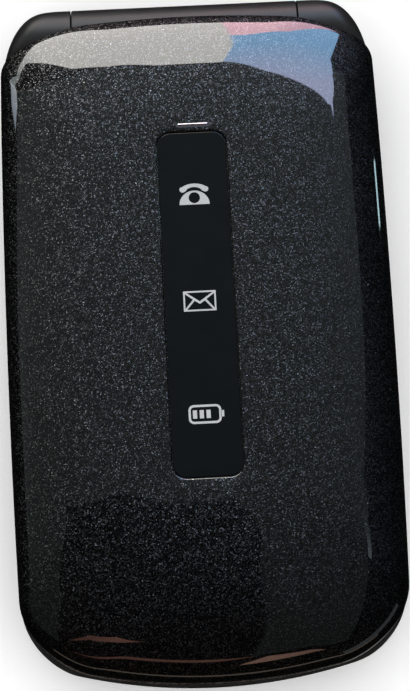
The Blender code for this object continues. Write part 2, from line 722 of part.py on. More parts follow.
def key(name, centre, size, slot, corner=KEY_CORNER, top=KEY_TOP, steps=2):
    """A key cap with a flange that keeps it under the plate."""
    bm = bmesh.new()
    slab(bm, centre, size, corner,
         [(-0.55, KEY_FLANGE_BOTTOM), (-0.55, KEY_FLANGE_TOP), (0.0, KEY_FLANGE_TOP),
          (0.0, top - 0.3), (0.45, top)], steps)
    return node(name, bm, slot, origin=(*centre, KEY_FLANGE_BOTTOM))


def keypad():
    for name, centre in digit_keys():
        key(name, centre, DIGIT_KEY, "key_plastic")
    for name, centre, size, slot in function_keys():
        key(name, centre, size, slot)
    key("nav_rocker", NAV_CENTRE, NAV_SIZE, "metal_trim", NAV_CORNER, NAV_TOP, 4)


def volume_rocker():
    """The rocker in the right side, which tips about an upright axis at its middle."""
    half = ROCKER_LENGTH / 2
    height = ROCKER_HEIGHT / 2
    bm = bmesh.new()
    sections = ((24.8, 0.7, 0.25), (25.4, 0.7, 0.25), (25.4, 0.0, 0.0), (26.9, 0.0, 0.0),
                (27.35, -0.5, -0.5))
    loops = []
    for x, longer, taller in sections:
        loops.append([(x, ROCKER_Y + py, ROCKER_Z + pz) for py, pz in rounded_rectangle(
            (0, 0), (2 * (half + longer), 2 * (height + taller)), 1.0, 3)])
    loft(bm, loops)
    node("volume_rocker", bm, "key_plastic", origin=(26.0, ROCKER_Y, ROCKER_Z))


# ---------------------------------------------------------------- assembly

def main():
    clear_scene()
    lid_hinge = bpy.data.objects.new("lid_hinge", None)
    lid_hinge.location = (0, HINGE_Y * MM, HINGE_Z * MM)
    bpy.context.scene.collection.objects.link(lid_hinge)
    for build in (lid_outer_cover, icon_window, icon_light_guide, call_light_bar,
                  lid_inner_frame, display_lens, display_module, lid_circuit_board, earpiece,
                  closing_magnet, lid_bumpers, lid_screws, hinge_cartridge, lid_flex_cable):
        build(lid_hinge)
    for build in (base_front_housing, base_rear_housing, battery_cover, main_board,
                  keypad_sheet, base_electronics, battery, camera, vibration_motor, usb_port,
                  base_screws, hinge_pins, keypad, volume_rocker):
        build()


main()
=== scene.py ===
"""Looks of the closed clamshell phone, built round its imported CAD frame.

Shapes are worked out in millimetres and become metres when a mesh is made. X runs across
the phone, +Y points to the hinge end and +Z out of the lid. The shells, the keys, the
screen's lens, the window and the call bar get finer pieces that replace their CAD nodes;
every other CAD node stays as it is and gets a procedural material.
"""

import functools
import json
import math

import bmesh
import bpy
from mathutils import Matrix, Vector


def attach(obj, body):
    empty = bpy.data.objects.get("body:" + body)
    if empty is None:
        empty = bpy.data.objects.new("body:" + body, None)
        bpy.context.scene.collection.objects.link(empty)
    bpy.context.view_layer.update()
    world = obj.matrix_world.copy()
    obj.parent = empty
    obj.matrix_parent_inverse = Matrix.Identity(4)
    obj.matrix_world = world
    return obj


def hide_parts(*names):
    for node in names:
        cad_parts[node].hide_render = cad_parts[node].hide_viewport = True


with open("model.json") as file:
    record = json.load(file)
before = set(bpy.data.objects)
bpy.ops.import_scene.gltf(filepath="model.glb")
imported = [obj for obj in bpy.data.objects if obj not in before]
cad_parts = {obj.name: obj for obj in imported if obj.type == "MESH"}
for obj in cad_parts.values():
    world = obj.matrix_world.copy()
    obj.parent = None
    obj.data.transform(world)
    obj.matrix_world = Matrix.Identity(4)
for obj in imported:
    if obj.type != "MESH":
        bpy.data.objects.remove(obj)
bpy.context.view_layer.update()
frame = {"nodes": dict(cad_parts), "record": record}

MM = 0.001
FAR = 60.0                  # beyond the phone on any side, for cutters

# ---- sizes, in millimetres
# and, for the lights and the camera, in metres

# The plan outline, the same as the frame's. A corner is its reach in X and in Y.
BODY_WIDTH = 55.0
BODY_LENGTH = 99.0
HALF_LENGTH = BODY_LENGTH / 2
SIDE_BOW = 0.7
FRONT_CORNER = (7.3, 10.6)
REAR_CORNER = (6.8, 11.6)
FRONT_CROWN = 4.8
END_STEPS = 12
CORNER_STEPS = 16
SIDE_STEPS = 24

# Hinge barrel.
BARREL_Y = HALF_LENGTH - 4.4
BARREL_Z = 11.2
BARREL_RADIUS = 4.4
CLEARANCE_RADIUS = 4.8
KNUCKLE_HALF = 16.45
EAR_START = 16.62
EAR_ROUND = 3.2

# Lid.
LID_BOTTOM = 11.5
LID_TOP = 19.5
COVER_RIM = 13.78
FRAME_TOP = 13.7
LID_FRONT = -49.0
LID_REAR = 47.3
LID_FRONT_CORNER = (10.0, 10.6)
LID_REAR_CORNER = (11.0, 7.0)
LID_REAR_CROWN = 2.5
CROWN_POWER = 3.0
CORNER_SWELL = 5.0
COVER_THICKNESS = 1.4
SKIN_STEPS = 30
LIP_WIDTH = 0.065           # of the way from the lid's edge to the window
TRIM_STEP = 0.0005          # fineness of the search for the skin's lower edge
TRIM_TRIALS = 300

# Status window, and the ledge in the cover that it lies on.
WINDOW = (9.7, 49.2)
WINDOW_Y = 3.36
WINDOW_CORNER = 1.9
WINDOW_GAP = 0.12
WINDOW_TOP = 19.3
HOLE_CORNER = WINDOW_CORNER + WINDOW_GAP
HOLE_FILLET = 0.2
LEDGE_TOP = 18.85
LEDGE_BOTTOM = 17.9
LEDGE_WIDTH = 0.9
CALL_ICON_Y = 18.9
MESSAGE_ICON_Y = 3.5
POWER_ICON_Y = -12.5
CALL_BAR = (0.3, 29.0)

# Screen side.
SCREEN = (33.0, 44.0)
SCREEN_Y = 2.0
LENS = (SCREEN[0] + 4.8, SCREEN[1] + 6.8)
LENS_GAP = 0.3
EARPIECE_Y = -37.0
EARPIECE_PITCH = 1.6
LID_BUMPERS = ((-19.0, -43.0), (19.0, -43.0))
LID_SCREWS = ((-20.8, 32.0), (20.8, 32.0))

# Base.
WALL = 1.5
BASE_TOP = 11.0
PLATE_UNDERSIDE = 9.8
CAVITY_REAR = BARREL_Y - 6.3
FRONT_SHELL_BOTTOM = 5.3
REAR_SHELL_TOP = 5.22
REAR_SHELL_END = BARREL_Y + 3.0
BACK_ROUND = 6.0
BACK_HEIGHT = 5.2
COVER_TOP = 3.0
COVER_END = 12.0
BOSSES = ((-21.0, -39.0), (21.0, -39.0), (-20.0, 36.8), (20.0, 36.8))
MICROPHONE = (3.0, -41.0)
SOCKET_Y = (-6.1, 1.7)
SOCKET_Z = (6.35, 9.05)
SIDE_CUT = (24.0, 30.0)     # how far in from a side its openings go
CAMERA_Y = 31.0
SPEAKER = (-13.5, 21.5)
SPEAKER_PITCH = 1.8

# Keys.
KEY_TOP = 11.25
FLANGE_BOTTOM = 9.05
FLANGE_TOP = 9.45
KEY_GAP = 0.25
DIGIT_KEY = (13.0, 9.4)
DIGIT_PITCH = (15.0, 11.8)
DIGIT_TOP_ROW = 7.6
KEY_CORNER = 2.4
DIGIT_HEIGHT = 6.4
NAV_CENTRE = (0.0, 26.0)
NAV_SIZE = (15.0, 17.6)
NAV_CORNER = 5.0
NAV_TOP = 11.1
SIGN_HEIGHT = 0.02
FUNCTION_KEYS = (           # name, centre, size and finish
    ("soft_key_left", (-15.0, 31.0), (11.0, 6.6), "key_plastic"),
    ("soft_key_right", (15.0, 31.0), (11.0, 6.6), "key_plastic"),
    ("call_key", (-15.0, 20.8), (11.0, 8.8), "call_green"),
    ("end_key", (15.0, 20.8), (11.0, 8.8), "end_red"),
)

# Volume rocker.
ROCKER_Y = 19.2
ROCKER_LENGTH = 15.0
ROCKER_Z = 7.9
ROCKER_HEIGHT = 3.0
ROCKER_GAP = 0.15

# Flakes in the lid's paint: cell size, share of empty cells, radius in a cell, strength.
FLAKES = ((0.20, 0.30, 0.60, 0.27), (0.45, 0.93, 0.28, 0.7))
FLAKE_TILT = 0.20

# Floor.
FLOOR_HALF = 4000.0
FLOOR_DROP = 0.2

# Lights and camera, in metres, and the world's brightness for each kind of ray.
REAR_CARDS_Y = 0.55
FRONT_CARDS_Y = -1.0
CEILING_Z = 1.5
WORLD_MATT = 0.95
WORLD_GLOSS = 0.006
WORLD_SEEN = 0.93
CAMERA_DISTANCE = 0.300
CAMERA_TARGET = (0.00058, -0.00110, 0.010)
CAMERA_ANGLES = (79.17, -5.98, -3.03)   # elevation, azimuth and roll, in degrees
FOCAL_LENGTH = 108.87
SENSOR_WIDTH = 36.0


# ---- materials

def blank(name):
    """A new material: its node tree, its shader and a socket of object coordinates."""
    made = bpy.data.materials.new(name)
    made.use_nodes = True
    tree = made.node_tree
    shader = tree.nodes["Principled BSDF"]
    place = tree.nodes.new("ShaderNodeTexCoord").outputs["Object"]
    return made, tree, shader, place


def constants(node, values):
    """Sets a node's sockets, by their names, to fixed values."""
    for name, value in values.items():
        node.inputs[name].default_value = value


def stretched(tree, place, scale):
    """The coordinates multiplied axis by axis, for a grain that runs one way."""
    mapping = tree.nodes.new("ShaderNodeMapping")
    mapping.inputs["Scale"].default_value = scale
    tree.links.new(place, mapping.inputs["Vector"])
    return mapping.outputs["Vector"]


def noise(tree, place, size, detail=3.0):
    """Smooth noise whose features are about size millimetres across."""
    made = tree.nodes.new("ShaderNodeTexNoise")
    constants(made, {"Scale": 1 / (size * MM), "Detail": detail})
    tree.links.new(place, made.inputs["Vector"])
    return made.outputs["Fac"]


def spread(tree, value, low, high, to_low=0.0, to_high=1.0):
    """Maps a value from low..high to to_low..to_high, clamped."""
    made = tree.nodes.new("ShaderNodeMapRange")
    constants(made, {"From Min": low, "From Max": high, "To Min": to_low, "To Max": to_high})
    tree.links.new(value, made.inputs["Value"])
    return made.outputs["Result"]


def mixed(tree, factor, first, second):
    """A colour between two others; each is a colour or a socket."""
    made = tree.nodes.new("ShaderNodeMix")
    made.data_type = "RGBA"
    tree.links.new(factor, made.inputs["Factor"])
    for name, value in (("A", first), ("B", second)):
        socket = [s for s in made.inputs if s.name == name and s.type == "RGBA"][0]
        if isinstance(value, bpy.types.NodeSocket):
            tree.links.new(value, socket)
        else:
            socket.default_value = (*value, 1.0)
    return [s for s in made.outputs if s.type == "RGBA"][0]


def combined(tree, operation, first, second):
    """Maths on two values; the second may be a number."""
    made = tree.nodes.new("ShaderNodeMath")
    made.operation = operation
    tree.links.new(first, made.inputs[0])
    if isinstance(second, bpy.types.NodeSocket):
        tree.links.new(second, made.inputs[1])
    else:
        made.inputs[1].default_value = second
    return made.outputs[0]


def bumped(tree, shader, height, depth):
    """Raises the surface by a height map; depth is in millimetres."""
    bump = tree.nodes.new("ShaderNodeBump")
    bump.inputs["Distance"].default_value = depth * MM
    tree.links.new(height, bump.inputs["Height"])
    tree.links.new(bump.outputs["Normal"], shader.inputs["Normal"])


def grained(name, dark, light, roughness, grain, depth, values=(), stretch=None):
    """A moulded, painted or rolled surface: mottled colour, fine grain and uneven gloss.

    grain is the grain's size and depth its height, in millimetres.
    """
    made, tree, shader, place = blank(name)
    if stretch:
        place = stretched(tree, place, stretch)
    fine = noise(tree, place, grain)
    broad = noise(tree, place, grain * 30)
    tone = combined(tree, "ADD", combined(tree, "MULTIPLY", fine, 0.5),
                    combined(tree, "MULTIPLY", broad, 0.5))
    tree.links.new(mixed(tree, spread(tree, tone, 0.35, 0.65), dark, light),
                   shader.inputs["Base Color"])
    tree.links.new(spread(tree, fine, 0.3, 0.7, *roughness), shader.inputs["Roughness"])
    bumped(tree, shader, fine, depth)
    constants(shader, dict(values))
    return made


def flake_paint(name):
    """Black metallic paint: tilted flakes of two sizes under a smooth clear coat."""
    made, tree, shader, place = blank(name)
    amounts = []
    tilts = []
    for cell, empty, radius, strength in FLAKES:
        cells = tree.nodes.new("ShaderNodeTexVoronoi")
        cells.inputs["Scale"].default_value = 1 / (cell * MM)
        tree.links.new(place, cells.inputs["Vector"])
        parts = tree.nodes.new("ShaderNodeSeparateColor")
        tree.links.new(cells.outputs["Color"], parts.inputs["Color"])
        chosen = spread(tree, parts.outputs["Red"], empty, 1.0, 0.0, strength)
        inside = spread(tree, cells.outputs["Distance"], radius, radius * 0.4)
        amounts.append(combined(tree, "MULTIPLY", chosen, inside))
        tilts.append(cells.outputs["Color"])
    amount = combined(tree, "MAXIMUM", amounts[0], amounts[1])
    cloud = noise(tree, place, 6.0, 4.0)
    ground = mixed(tree, cloud, (0.006, 0.006, 0.0065), (0.012, 0.012, 0.0125))
    tree.links.new(mixed(tree, amount, ground, (0.62, 0.60, 0.57)),
                   shader.inputs["Base Color"])
    tree.links.new(spread(tree, amount, 0.0, 0.5, 0.50, 0.36), shader.inputs["Roughness"])

    tilt = tree.nodes.new("ShaderNodeVectorMath")
    tilt.operation = "MULTIPLY_ADD"
    tree.links.new(tilts[0], tilt.inputs[0])
    tilt.inputs[1].default_value = (2 * FLAKE_TILT,) * 3
    tilt.inputs[2].default_value = (-FLAKE_TILT,) * 3
    turned = tree.nodes.new("ShaderNodeVectorMath")
    turned.operation = "ADD"
    surface = tree.nodes.new("ShaderNodeNewGeometry")
    tree.links.new(surface.outputs["Normal"], turned.inputs[0])
    tree.links.new(tilt.outputs["Vector"], turned.inputs[1])
    unit = tree.nodes.new("ShaderNodeVectorMath")
    unit.operation = "NORMALIZE"
    tree.links.new(turned.outputs["Vector"], unit.inputs[0])
    tree.links.new(unit.outputs["Vector"], shader.inputs["Normal"])
    constants(shader, {"Metallic": 1.0, "Specular IOR Level": 0.0, "Coat Weight": 1.0,
                       "Coat Roughness": 0.03, "Coat IOR": 1.7})
    return made


def smoked_glass(name):
    """A polished black panel with a faint blue cast and a few fine rubs."""
    made, tree, shader, place = blank(name)
    haze = noise(tree, place, 3.0, 5.0)
    tree.links.new(mixed(tree, haze, (0.0012, 0.0018, 0.0025), (0.0032, 0.0042, 0.0052)),
                   shader.inputs["Base Color"])
    rubs = noise(tree, stretched(tree, place, (1.0, 0.06, 1.0)), 0.25)
    tree.links.new(spread(tree, rubs, 0.45, 0.85, 0.05, 0.09), shader.inputs["Roughness"])
    constants(shader, {"IOR": 1.5})
    return made


def woven(name):
    """A fine black mesh: threads in two directions."""
    made, tree, shader, place = blank(name)
    threads = []
    for direction in ("X", "Y"):
        wave = tree.nodes.new("ShaderNodeTexWave")
        wave.bands_direction = direction
        wave.inputs["Scale"].default_value = 1 / (2.2 * MM)
        tree.links.new(place, wave.inputs["Vector"])
        threads.append(wave.outputs["Fac"])
    weave = combined(tree, "MULTIPLY", threads[0], threads[1])
    tree.links.new(mixed(tree, weave, (0.006, 0.006, 0.006), (0.06, 0.06, 0.06)),
                   shader.inputs["Base Color"])
    constants(shader, {"Roughness": 0.8})
    bumped(tree, shader, weave, 0.05)
    return made


METAL = {"Metallic": 1.0}
GRAINED = {     # dark and light colour, range of roughness, grain, depth and options
    "dark_plastic": ((0.008, 0.008, 0.008), (0.016, 0.0155, 0.015), (0.36, 0.46), 0.09, 0.002,
                     {"Specular IOR Level": 0.30}),
    "light_guide": ((0.33, 0.345, 0.355), (0.42, 0.435, 0.45), (0.35, 0.5), 0.12, 0.001,
                    {"Specular IOR Level": 0.2}),
    "metal_trim": ((0.55, 0.56, 0.58), (0.80, 0.80, 0.81), (0.20, 0.34), 0.08, 0.001,
                   METAL, (0.15, 1.0, 1.0)),
    "nav_trim": ((0.42, 0.43, 0.45), (0.56, 0.57, 0.59), (0.26, 0.36), 0.07, 0.001,
                 {"Metallic": 0.8}),
    "key_plastic": ((0.40, 0.41, 0.43), (0.52, 0.53, 0.55), (0.30, 0.42), 0.08, 0.0015,
                    {"Metallic": 0.3}),
    "call_green": ((0.020, 0.25, 0.07), (0.045, 0.36, 0.11), (0.28, 0.40), 0.08, 0.0015),
    "end_red": ((0.36, 0.018, 0.018), (0.50, 0.04, 0.035), (0.28, 0.40), 0.08, 0.0015),
    "board_green": ((0.008, 0.09, 0.04), (0.020, 0.16, 0.07), (0.35, 0.55), 0.4, 0.01),
    "steel": ((0.42, 0.42, 0.43), (0.60, 0.60, 0.61), (0.24, 0.40), 0.06, 0.001,
              METAL, (1.0, 0.1, 1.0)),
    "brass": ((0.55, 0.38, 0.15), (0.75, 0.56, 0.26), (0.28, 0.42), 0.07, 0.001, METAL),
    "rubber": ((0.012, 0.012, 0.012), (0.026, 0.026, 0.026), (0.75, 0.9), 0.10, 0.01),
    "battery_label": ((0.06, 0.065, 0.08), (0.11, 0.12, 0.14), (0.40, 0.55), 0.2, 0.002),
    "flex_amber": ((0.38, 0.15, 0.02), (0.60, 0.28, 0.05), (0.30, 0.45), 0.3, 0.002),
    "key_sign": ((0.012, 0.014, 0.02), (0.03, 0.034, 0.045), (0.45, 0.6), 0.06, 0.001),
    "light_sign": ((0.70, 0.71, 0.72), (0.85, 0.85, 0.86), (0.45, 0.6), 0.06, 0.001),
}
FINISHES = {name: grained(name, *values) for name, values in GRAINED.items()}
FINISHES["cover_paint"] = flake_paint("cover_paint")
FINISHES["window"] = smoked_glass("window")
FINISHES["screen"] = smoked_glass("screen")
FINISHES["mesh_cloth"] = woven("mesh_cloth")


# ---- meshes

def loft(bm, loops, closed=False):
    """A skin through loops of points; closed joins the last loop to the first."""
    rings = [[bm.verts.new(point) for point in loop] for loop in loops]
    count = len(rings[0])
    pairs = list(zip(rings, rings[1:]))
    if closed:
        pairs.append((rings[-1], rings[0]))
    for lower, upper in pairs:
        for i in range(count):
            j = (i + 1) % count
            bm.faces.new((lower[i], lower[j], upper[j], upper[i]))
    if not closed:
        bm.faces.new(list(reversed(rings[0])))
        bm.faces.new(rings[-1])


def added(name, data):
    """A new object in the scene that shows a mesh, curve, light or camera."""
    made = bpy.data.objects.new(name, data)
    bpy.context.scene.collection.objects.link(made)
    return made


def mesh_object(name, bm):
    """An object in metres from a bmesh in millimetres."""
    bmesh.ops.recalc_face_normals(bm, faces=bm.faces)
    bmesh.ops.scale(bm, vec=(MM, MM, MM), verts=bm.verts)
    mesh = bpy.data.meshes.new(name)
    bm.to_mesh(mesh)
    bm.free()
    return added(name, mesh)


def carve(obj, cutter_bm, operation="DIFFERENCE"):
    """Cuts or joins obj with a shape, and keeps the result as its mesh."""
    cutter = mesh_object("cutter", cutter_bm)
    modifier = obj.modifiers.new("carve", "BOOLEAN")
    modifier.solver = "EXACT"
    modifier.use_self = True
    modifier.operation = operation
    modifier.object = cutter
    shape = bpy.data.meshes.new_from_object(
        obj.evaluated_get(bpy.context.evaluated_depsgraph_get()))
    obj.modifiers.clear()
    obj.data = shape
    bpy.data.objects.remove(cutter)


def shaped(build, *values, **options):
    """A bmesh that one of the shape functions has drawn into."""
    bm = bmesh.new()
    build(bm, *values, **options)
    return bm


def show(obj, body, slot, finish=None, replaced=(), sharp=32.0):
    """Finishes a piece: its material, smooth shading, and what it rides on and replaces."""
    obj.data.materials.clear()
    obj.data.materials.append(FINISHES[finish or slot])
    obj.data.shade_smooth()
    obj.data.set_sharp_from_angle(angle=math.radians(sharp))
    weighted = obj.modifiers.new("weighted", "WEIGHTED_NORMAL")
    weighted.keep_sharp = True
    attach(obj, body)
    if replaced:
        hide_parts(*replaced)


def mix(a, b, t):
    """The number that lies t of the way from a to b."""
    return a + (b - a) * t


def outline(front, rear, half_width, front_corner, rear_corner, bow, front_crown,
            rear_crown):
    """A closed plan outline of 160 points, with the same layout whatever its size."""
    front_x, front_y = front_corner
    rear_x, rear_y = rear_corner
    quarter = [math.pi / 2 * i / CORNER_STEPS for i in range(CORNER_STEPS)]
    half = [((half_width - front_x) * i / END_STEPS, front) for i in range(END_STEPS)]
    half += [(half_width - front_x + front_x * math.sin(angle),
              front + front_y - front_y * math.cos(angle)) for angle in quarter]
    half += [(half_width, mix(front + front_y, rear - rear_y, i / SIDE_STEPS))
             for i in range(SIDE_STEPS)]
    half += [(half_width - rear_x + rear_x * math.cos(angle),
              rear - rear_y + rear_y * math.sin(angle)) for angle in quarter]
    half += [((half_width - rear_x) * (1 - i / END_STEPS), rear)
             for i in range(END_STEPS + 1)]
    bent = []
    for x, y in half:
        across = (2 * x / BODY_WIDTH) ** 2
        along = min(abs(y) / HALF_LENGTH, 1.0)
        crown = front_crown if y < 0 else -rear_crown
        bent.append((x * (1 - 2 * bow / BODY_WIDTH * along ** 2),
                     y + crown * across * along ** 4))
    return bent + [(-x, y) for x, y in reversed(bent[1:-1])]


def shrunk(corner, inset):
    """A corner's two radii for an outline that is drawn in by inset."""
    return [max(r - 0.6 * inset, 2.0) for r in corner]


def base_outline(inset, rear=HALF_LENGTH):
    """The base's plan outline, drawn in by inset."""
    return outline(-HALF_LENGTH + inset, rear - inset, BODY_WIDTH / 2 - inset,
                   shrunk(FRONT_CORNER, inset), shrunk(REAR_CORNER, inset),
                   SIDE_BOW, FRONT_CROWN, 0.0)


def lid_outline(inset):
    """The lid's plan outline, drawn in by inset."""
    return outline(LID_FRONT + inset, LID_REAR - inset, BODY_WIDTH / 2 - inset,
                   shrunk(LID_FRONT_CORNER, inset), shrunk(LID_REAR_CORNER, inset),
                   SIDE_BOW, FRONT_CROWN, LID_REAR_CROWN)


def level(points, z):
    """A plan outline at a height."""
    return [(x, y, z) for x, y in points]


def rounded_rectangle(centre, size, radius, steps=6):
    """The outline of a rectangle with round corners, each of steps edges."""
    half_x = size[0] / 2 - radius
    half_y = size[1] / 2 - radius
    points = []
    for quarter, (sx, sy) in enumerate(((1, 1), (-1, 1), (-1, -1), (1, -1))):
        for i in range(steps + 1):
            angle = math.pi / 2 * (quarter + i / steps)
            points.append((centre[0] + sx * half_x + radius * math.cos(angle),
                           centre[1] + sy * half_y + radius * math.sin(angle)))
    return points


def slab(bm, centre, size, radius, levels, steps=6):
    """A stack of rounded rectangles from (inset, z) pairs."""
    loops = []
    for inset, z in levels:
        drawn_in = (size[0] - 2 * inset, size[1] - 2 * inset)
        corner = max(radius - inset, 0.05)
        loops.append(level(rounded_rectangle(centre, drawn_in, corner, steps), z))
    loft(bm, loops)


def box(bm, x, y, z):
    """A box from its lowest and highest X, Y and Z."""
    corners = [(x[0], y[0]), (x[1], y[0]), (x[1], y[1]), (x[0], y[1])]
    loft(bm, [level(corners, height) for height in z])


def turned_x(bm, profile, y=BARREL_Y, z=BARREL_Z, segments=96):
    """A turned piece about an axis along X, from (x, radius) pairs."""
    turns = [2 * math.pi * i / segments for i in range(segments)]
    loft(bm, [[(x, y + radius * math.cos(a), z + radius * math.sin(a)) for a in turns]
              for x, radius in profile])


def turned_z(bm, x, y, profile, segments=32):
    """A turned piece about a vertical axis, from (radius, z) pairs."""
    turns = [2 * math.pi * i / segments for i in range(segments)]
    loft(bm, [[(x + radius * math.cos(a), y + radius * math.sin(a), z) for a in turns]
              for radius, z in profile])


def plate(bm, loops, low, high):
    """A flat plate between two heights; the loops are its edge and any holes in it."""
    edges = []
    for loop in loops:
        verts = [bm.verts.new((x, y, low)) for x, y in loop]
        edges += [bm.edges.new((a, b)) for a, b in zip(verts, verts[1:] + verts[:1])]
    filled = bmesh.ops.triangle_fill(bm, use_beauty=True, use_dissolve=False, edges=edges)
    faces = [f for f in filled["geom"] if isinstance(f, bmesh.types.BMFace)]
    raised = bmesh.ops.extrude_face_region(bm, geom=faces)
    verts = [v for v in raised["geom"] if isinstance(v, bmesh.types.BMVert)]
    bmesh.ops.translate(bm, vec=(0, 0, high - low), verts=verts)


# ---- lid

def rim_height(y):
    """Height of the cover's lower edge, which clears the hinge barrel at the rear."""
    reach = abs(y - BARREL_Y)
    if reach >= CLEARANCE_RADIUS:
        return COVER_RIM
    return max(COVER_RIM, BARREL_Z + math.sqrt(CLEARANCE_RADIUS ** 2 - reach ** 2))


def crown_height(t):
    """Height of the cover's skin between the lid's edge, at t = 0, and the window's hole."""
    return mix(COVER_RIM, LID_TOP, math.sqrt(1 - (1 - t) ** CROWN_POWER))


@functools.lru_cache(maxsize=None)
def cover_outline(t):
    """An outline between the lid's edge, at t = 0, and the window's hole, at t = 1."""
    round_front = []
    round_rear = []
    for a, b in zip(LID_FRONT_CORNER, LID_REAR_CORNER):
        extra = CORNER_SWELL * 4 * t * (1 - t)
        round_front.append(mix(a, HOLE_CORNER, t) + extra)
        round_rear.append(mix(b, HOLE_CORNER, t) + extra)
    hole_half = WINDOW[0] / 2 + WINDOW_GAP
    hole_reach = WINDOW[1] / 2 + WINDOW_GAP
    half_width = mix(BODY_WIDTH / 2, hole_half, t)
    return outline(mix(LID_FRONT, WINDOW_Y - hole_reach, t),
                   mix(LID_REAR, WINDOW_Y + hole_reach, t), half_width,
                   round_front, round_rear, SIDE_BOW * (1 - t), FRONT_CROWN * (1 - t),
                   LID_REAR_CROWN * (1 - t))


def hole_loop(inset, z):
    """The edge of the window's hole, drawn in by inset, at a height."""
    half_x = WINDOW[0] / 2 + WINDOW_GAP - inset
    half_y = WINDOW[1] / 2 + WINDOW_GAP - inset
    corner = (HOLE_CORNER - inset, HOLE_CORNER - inset)
    return level(outline(WINDOW_Y - half_y, WINDOW_Y + half_y, half_x, corner, corner,
                         0.0, 0.0, 0.0), z)


def lid_cover():
    """The crowned shell: outer skin, window hole with a fillet, ledge and inner skin.

    Each of the outline's points starts as far in as it must to be above the rim, so the
    skin is trimmed by the barrel's clearance and keeps its crown.
    """
    trials = [k * TRIM_STEP for k in range(TRIM_TRIALS)]
    starts = [next(t for t in trials
                   if crown_height(t) >= rim_height(cover_outline(t)[i][1]))
              for i in range(len(cover_outline(0.0)))]
    rims = [crown_height(start) for start in starts]

    def skin(t, lowered=0.0):
        loop = []
        for i, start in enumerate(starts):
            share = mix(start, 1.0, t)
            x, y = cover_outline(share)[i]
            loop.append((x, y, max(crown_height(share) - lowered, rims[i])))
        return loop

    def rim(inward, raised=0.0):
        return [(*cover_outline(start + inward)[i], rims[i] + raised)
                for i, start in enumerate(starts)]

    loops = [rim(LIP_WIDTH), rim(0.004), rim(0.001, 0.03)]
    for i in range(1, SKIN_STEPS):
        loops.append(skin((i / SKIN_STEPS) ** 2))
    for i in range(5):
        angle = math.pi / 2 * i / 4
        loops.append(hole_loop(-HOLE_FILLET * (1 - math.sin(angle)),
                               LID_TOP - HOLE_FILLET * (1 - math.cos(angle))))
    loops.append(hole_loop(0.0, LEDGE_TOP))
    loops.append(hole_loop(LEDGE_WIDTH, LEDGE_TOP))
    loops.append(hole_loop(LEDGE_WIDTH, LEDGE_BOTTOM))
    for t in (0.9, 0.75, 0.6, 0.45, 0.3, 0.2, 0.13):
        loops.append(skin(t, COVER_THICKNESS))
    show(mesh_object("lid_cover", shaped(loft, loops, closed=True)), "lid", "cover_paint",
         replaced=["lid_outer_cover"], sharp=40)


def status_window():
    """The dark window, with a fine bevel round its face."""
    levels = [(0.0, LEDGE_TOP + 0.02), (0.0, WINDOW_TOP - 0.12), (0.03, WINDOW_TOP - 0.05),
              (0.12, WINDOW_TOP)]
    bm = shaped(slab, (0, WINDOW_Y), WINDOW, WINDOW_CORNER, levels, 16)
    show(mesh_object("status_window", bm), "lid", "window", replaced=["icon_window"])


def arc(centre, radius, start, end, steps=14):
    """Points on a circular or elliptical arc, angles in degrees."""
    rx, ry = radius if isinstance(radius, tuple) else (radius, radius)
    points = []
    for i in range(steps + 1):
        angle = math.radians(mix(start, end, i / steps))
        points.append((centre[0] + rx * math.cos(angle), centre[1] + ry * math.sin(angle)))
    return points


def icon(name, shapes, y):
    """A light sign printed on the window; each shape is its edge and any holes."""
    bm = bmesh.new()
    for loops in shapes:
        placed = [[(px, py + y) for px, py in loop] for loop in loops]
        plate(bm, placed, WINDOW_TOP - 0.01, WINDOW_TOP + SIGN_HEIGHT)
    show(mesh_object(name, bm), "lid", "light_guide")


def window_icons():
    """Three signs: a desk telephone, an envelope and a battery."""
    dome = arc((0.0, -1.50), (2.13, 2.02), 0, 180, 24)
    dial = arc((0.0, -0.52), 0.80, 0, 345, 23)
    receiver = (arc((-1.62, 0.72), 0.42, 140, 300, 8)
                + arc((0.0, 0.32), (1.18, 0.72), 165, 15, 12)
                + arc((1.62, 0.72), 0.42, 240, 400, 8)
                + arc((0.0, 0.56), (1.95, 0.98), 35, 145, 14))
    icon("icon_call", [[dome, dial], [receiver]], CALL_ICON_Y)

    w, h, line = 2.28, 1.44, 0.23
    edge = [(-w, -h), (w, -h), (w, h), (-w, h)]
    top = [(-w + 1.9 * line, h - line), (w - 1.9 * line, h - line), (0.0, -0.06)]
    left = [(-w + line, h - 1.7 * line), (-0.93, 0.22), (-w + line, -h + 1.5 * line)]
    right = [(-x, y) for x, y in reversed(left)]
    lower = [(-w + 2.0 * line, -h + line), (-0.72, 0.05), (0.0, -0.42), (0.72, 0.05),
             (w - 2.0 * line, -h + line)]
    icon("icon_message", [[edge, top, left, right, lower]], MESSAGE_ICON_Y)

    case = [rounded_rectangle((-0.1, 0), (4.55, 2.65), 0.75, 5),
            rounded_rectangle((-0.1, 0), (3.93, 2.03), 0.45, 5)]
    terminal = [[(2.10, -0.45), (2.55, -0.45), (2.55, 0.45), (2.10, 0.45)]]
    shapes = [case, terminal]
    for i in range(3):
        left_edge = -1.78 + 0.94 * i
        shapes.append([[(left_edge, -0.58), (left_edge + 0.58, -0.58),
                        (left_edge + 0.58, 0.58), (left_edge, 0.58)]])
    icon("icon_power", shapes, POWER_ICON_Y)


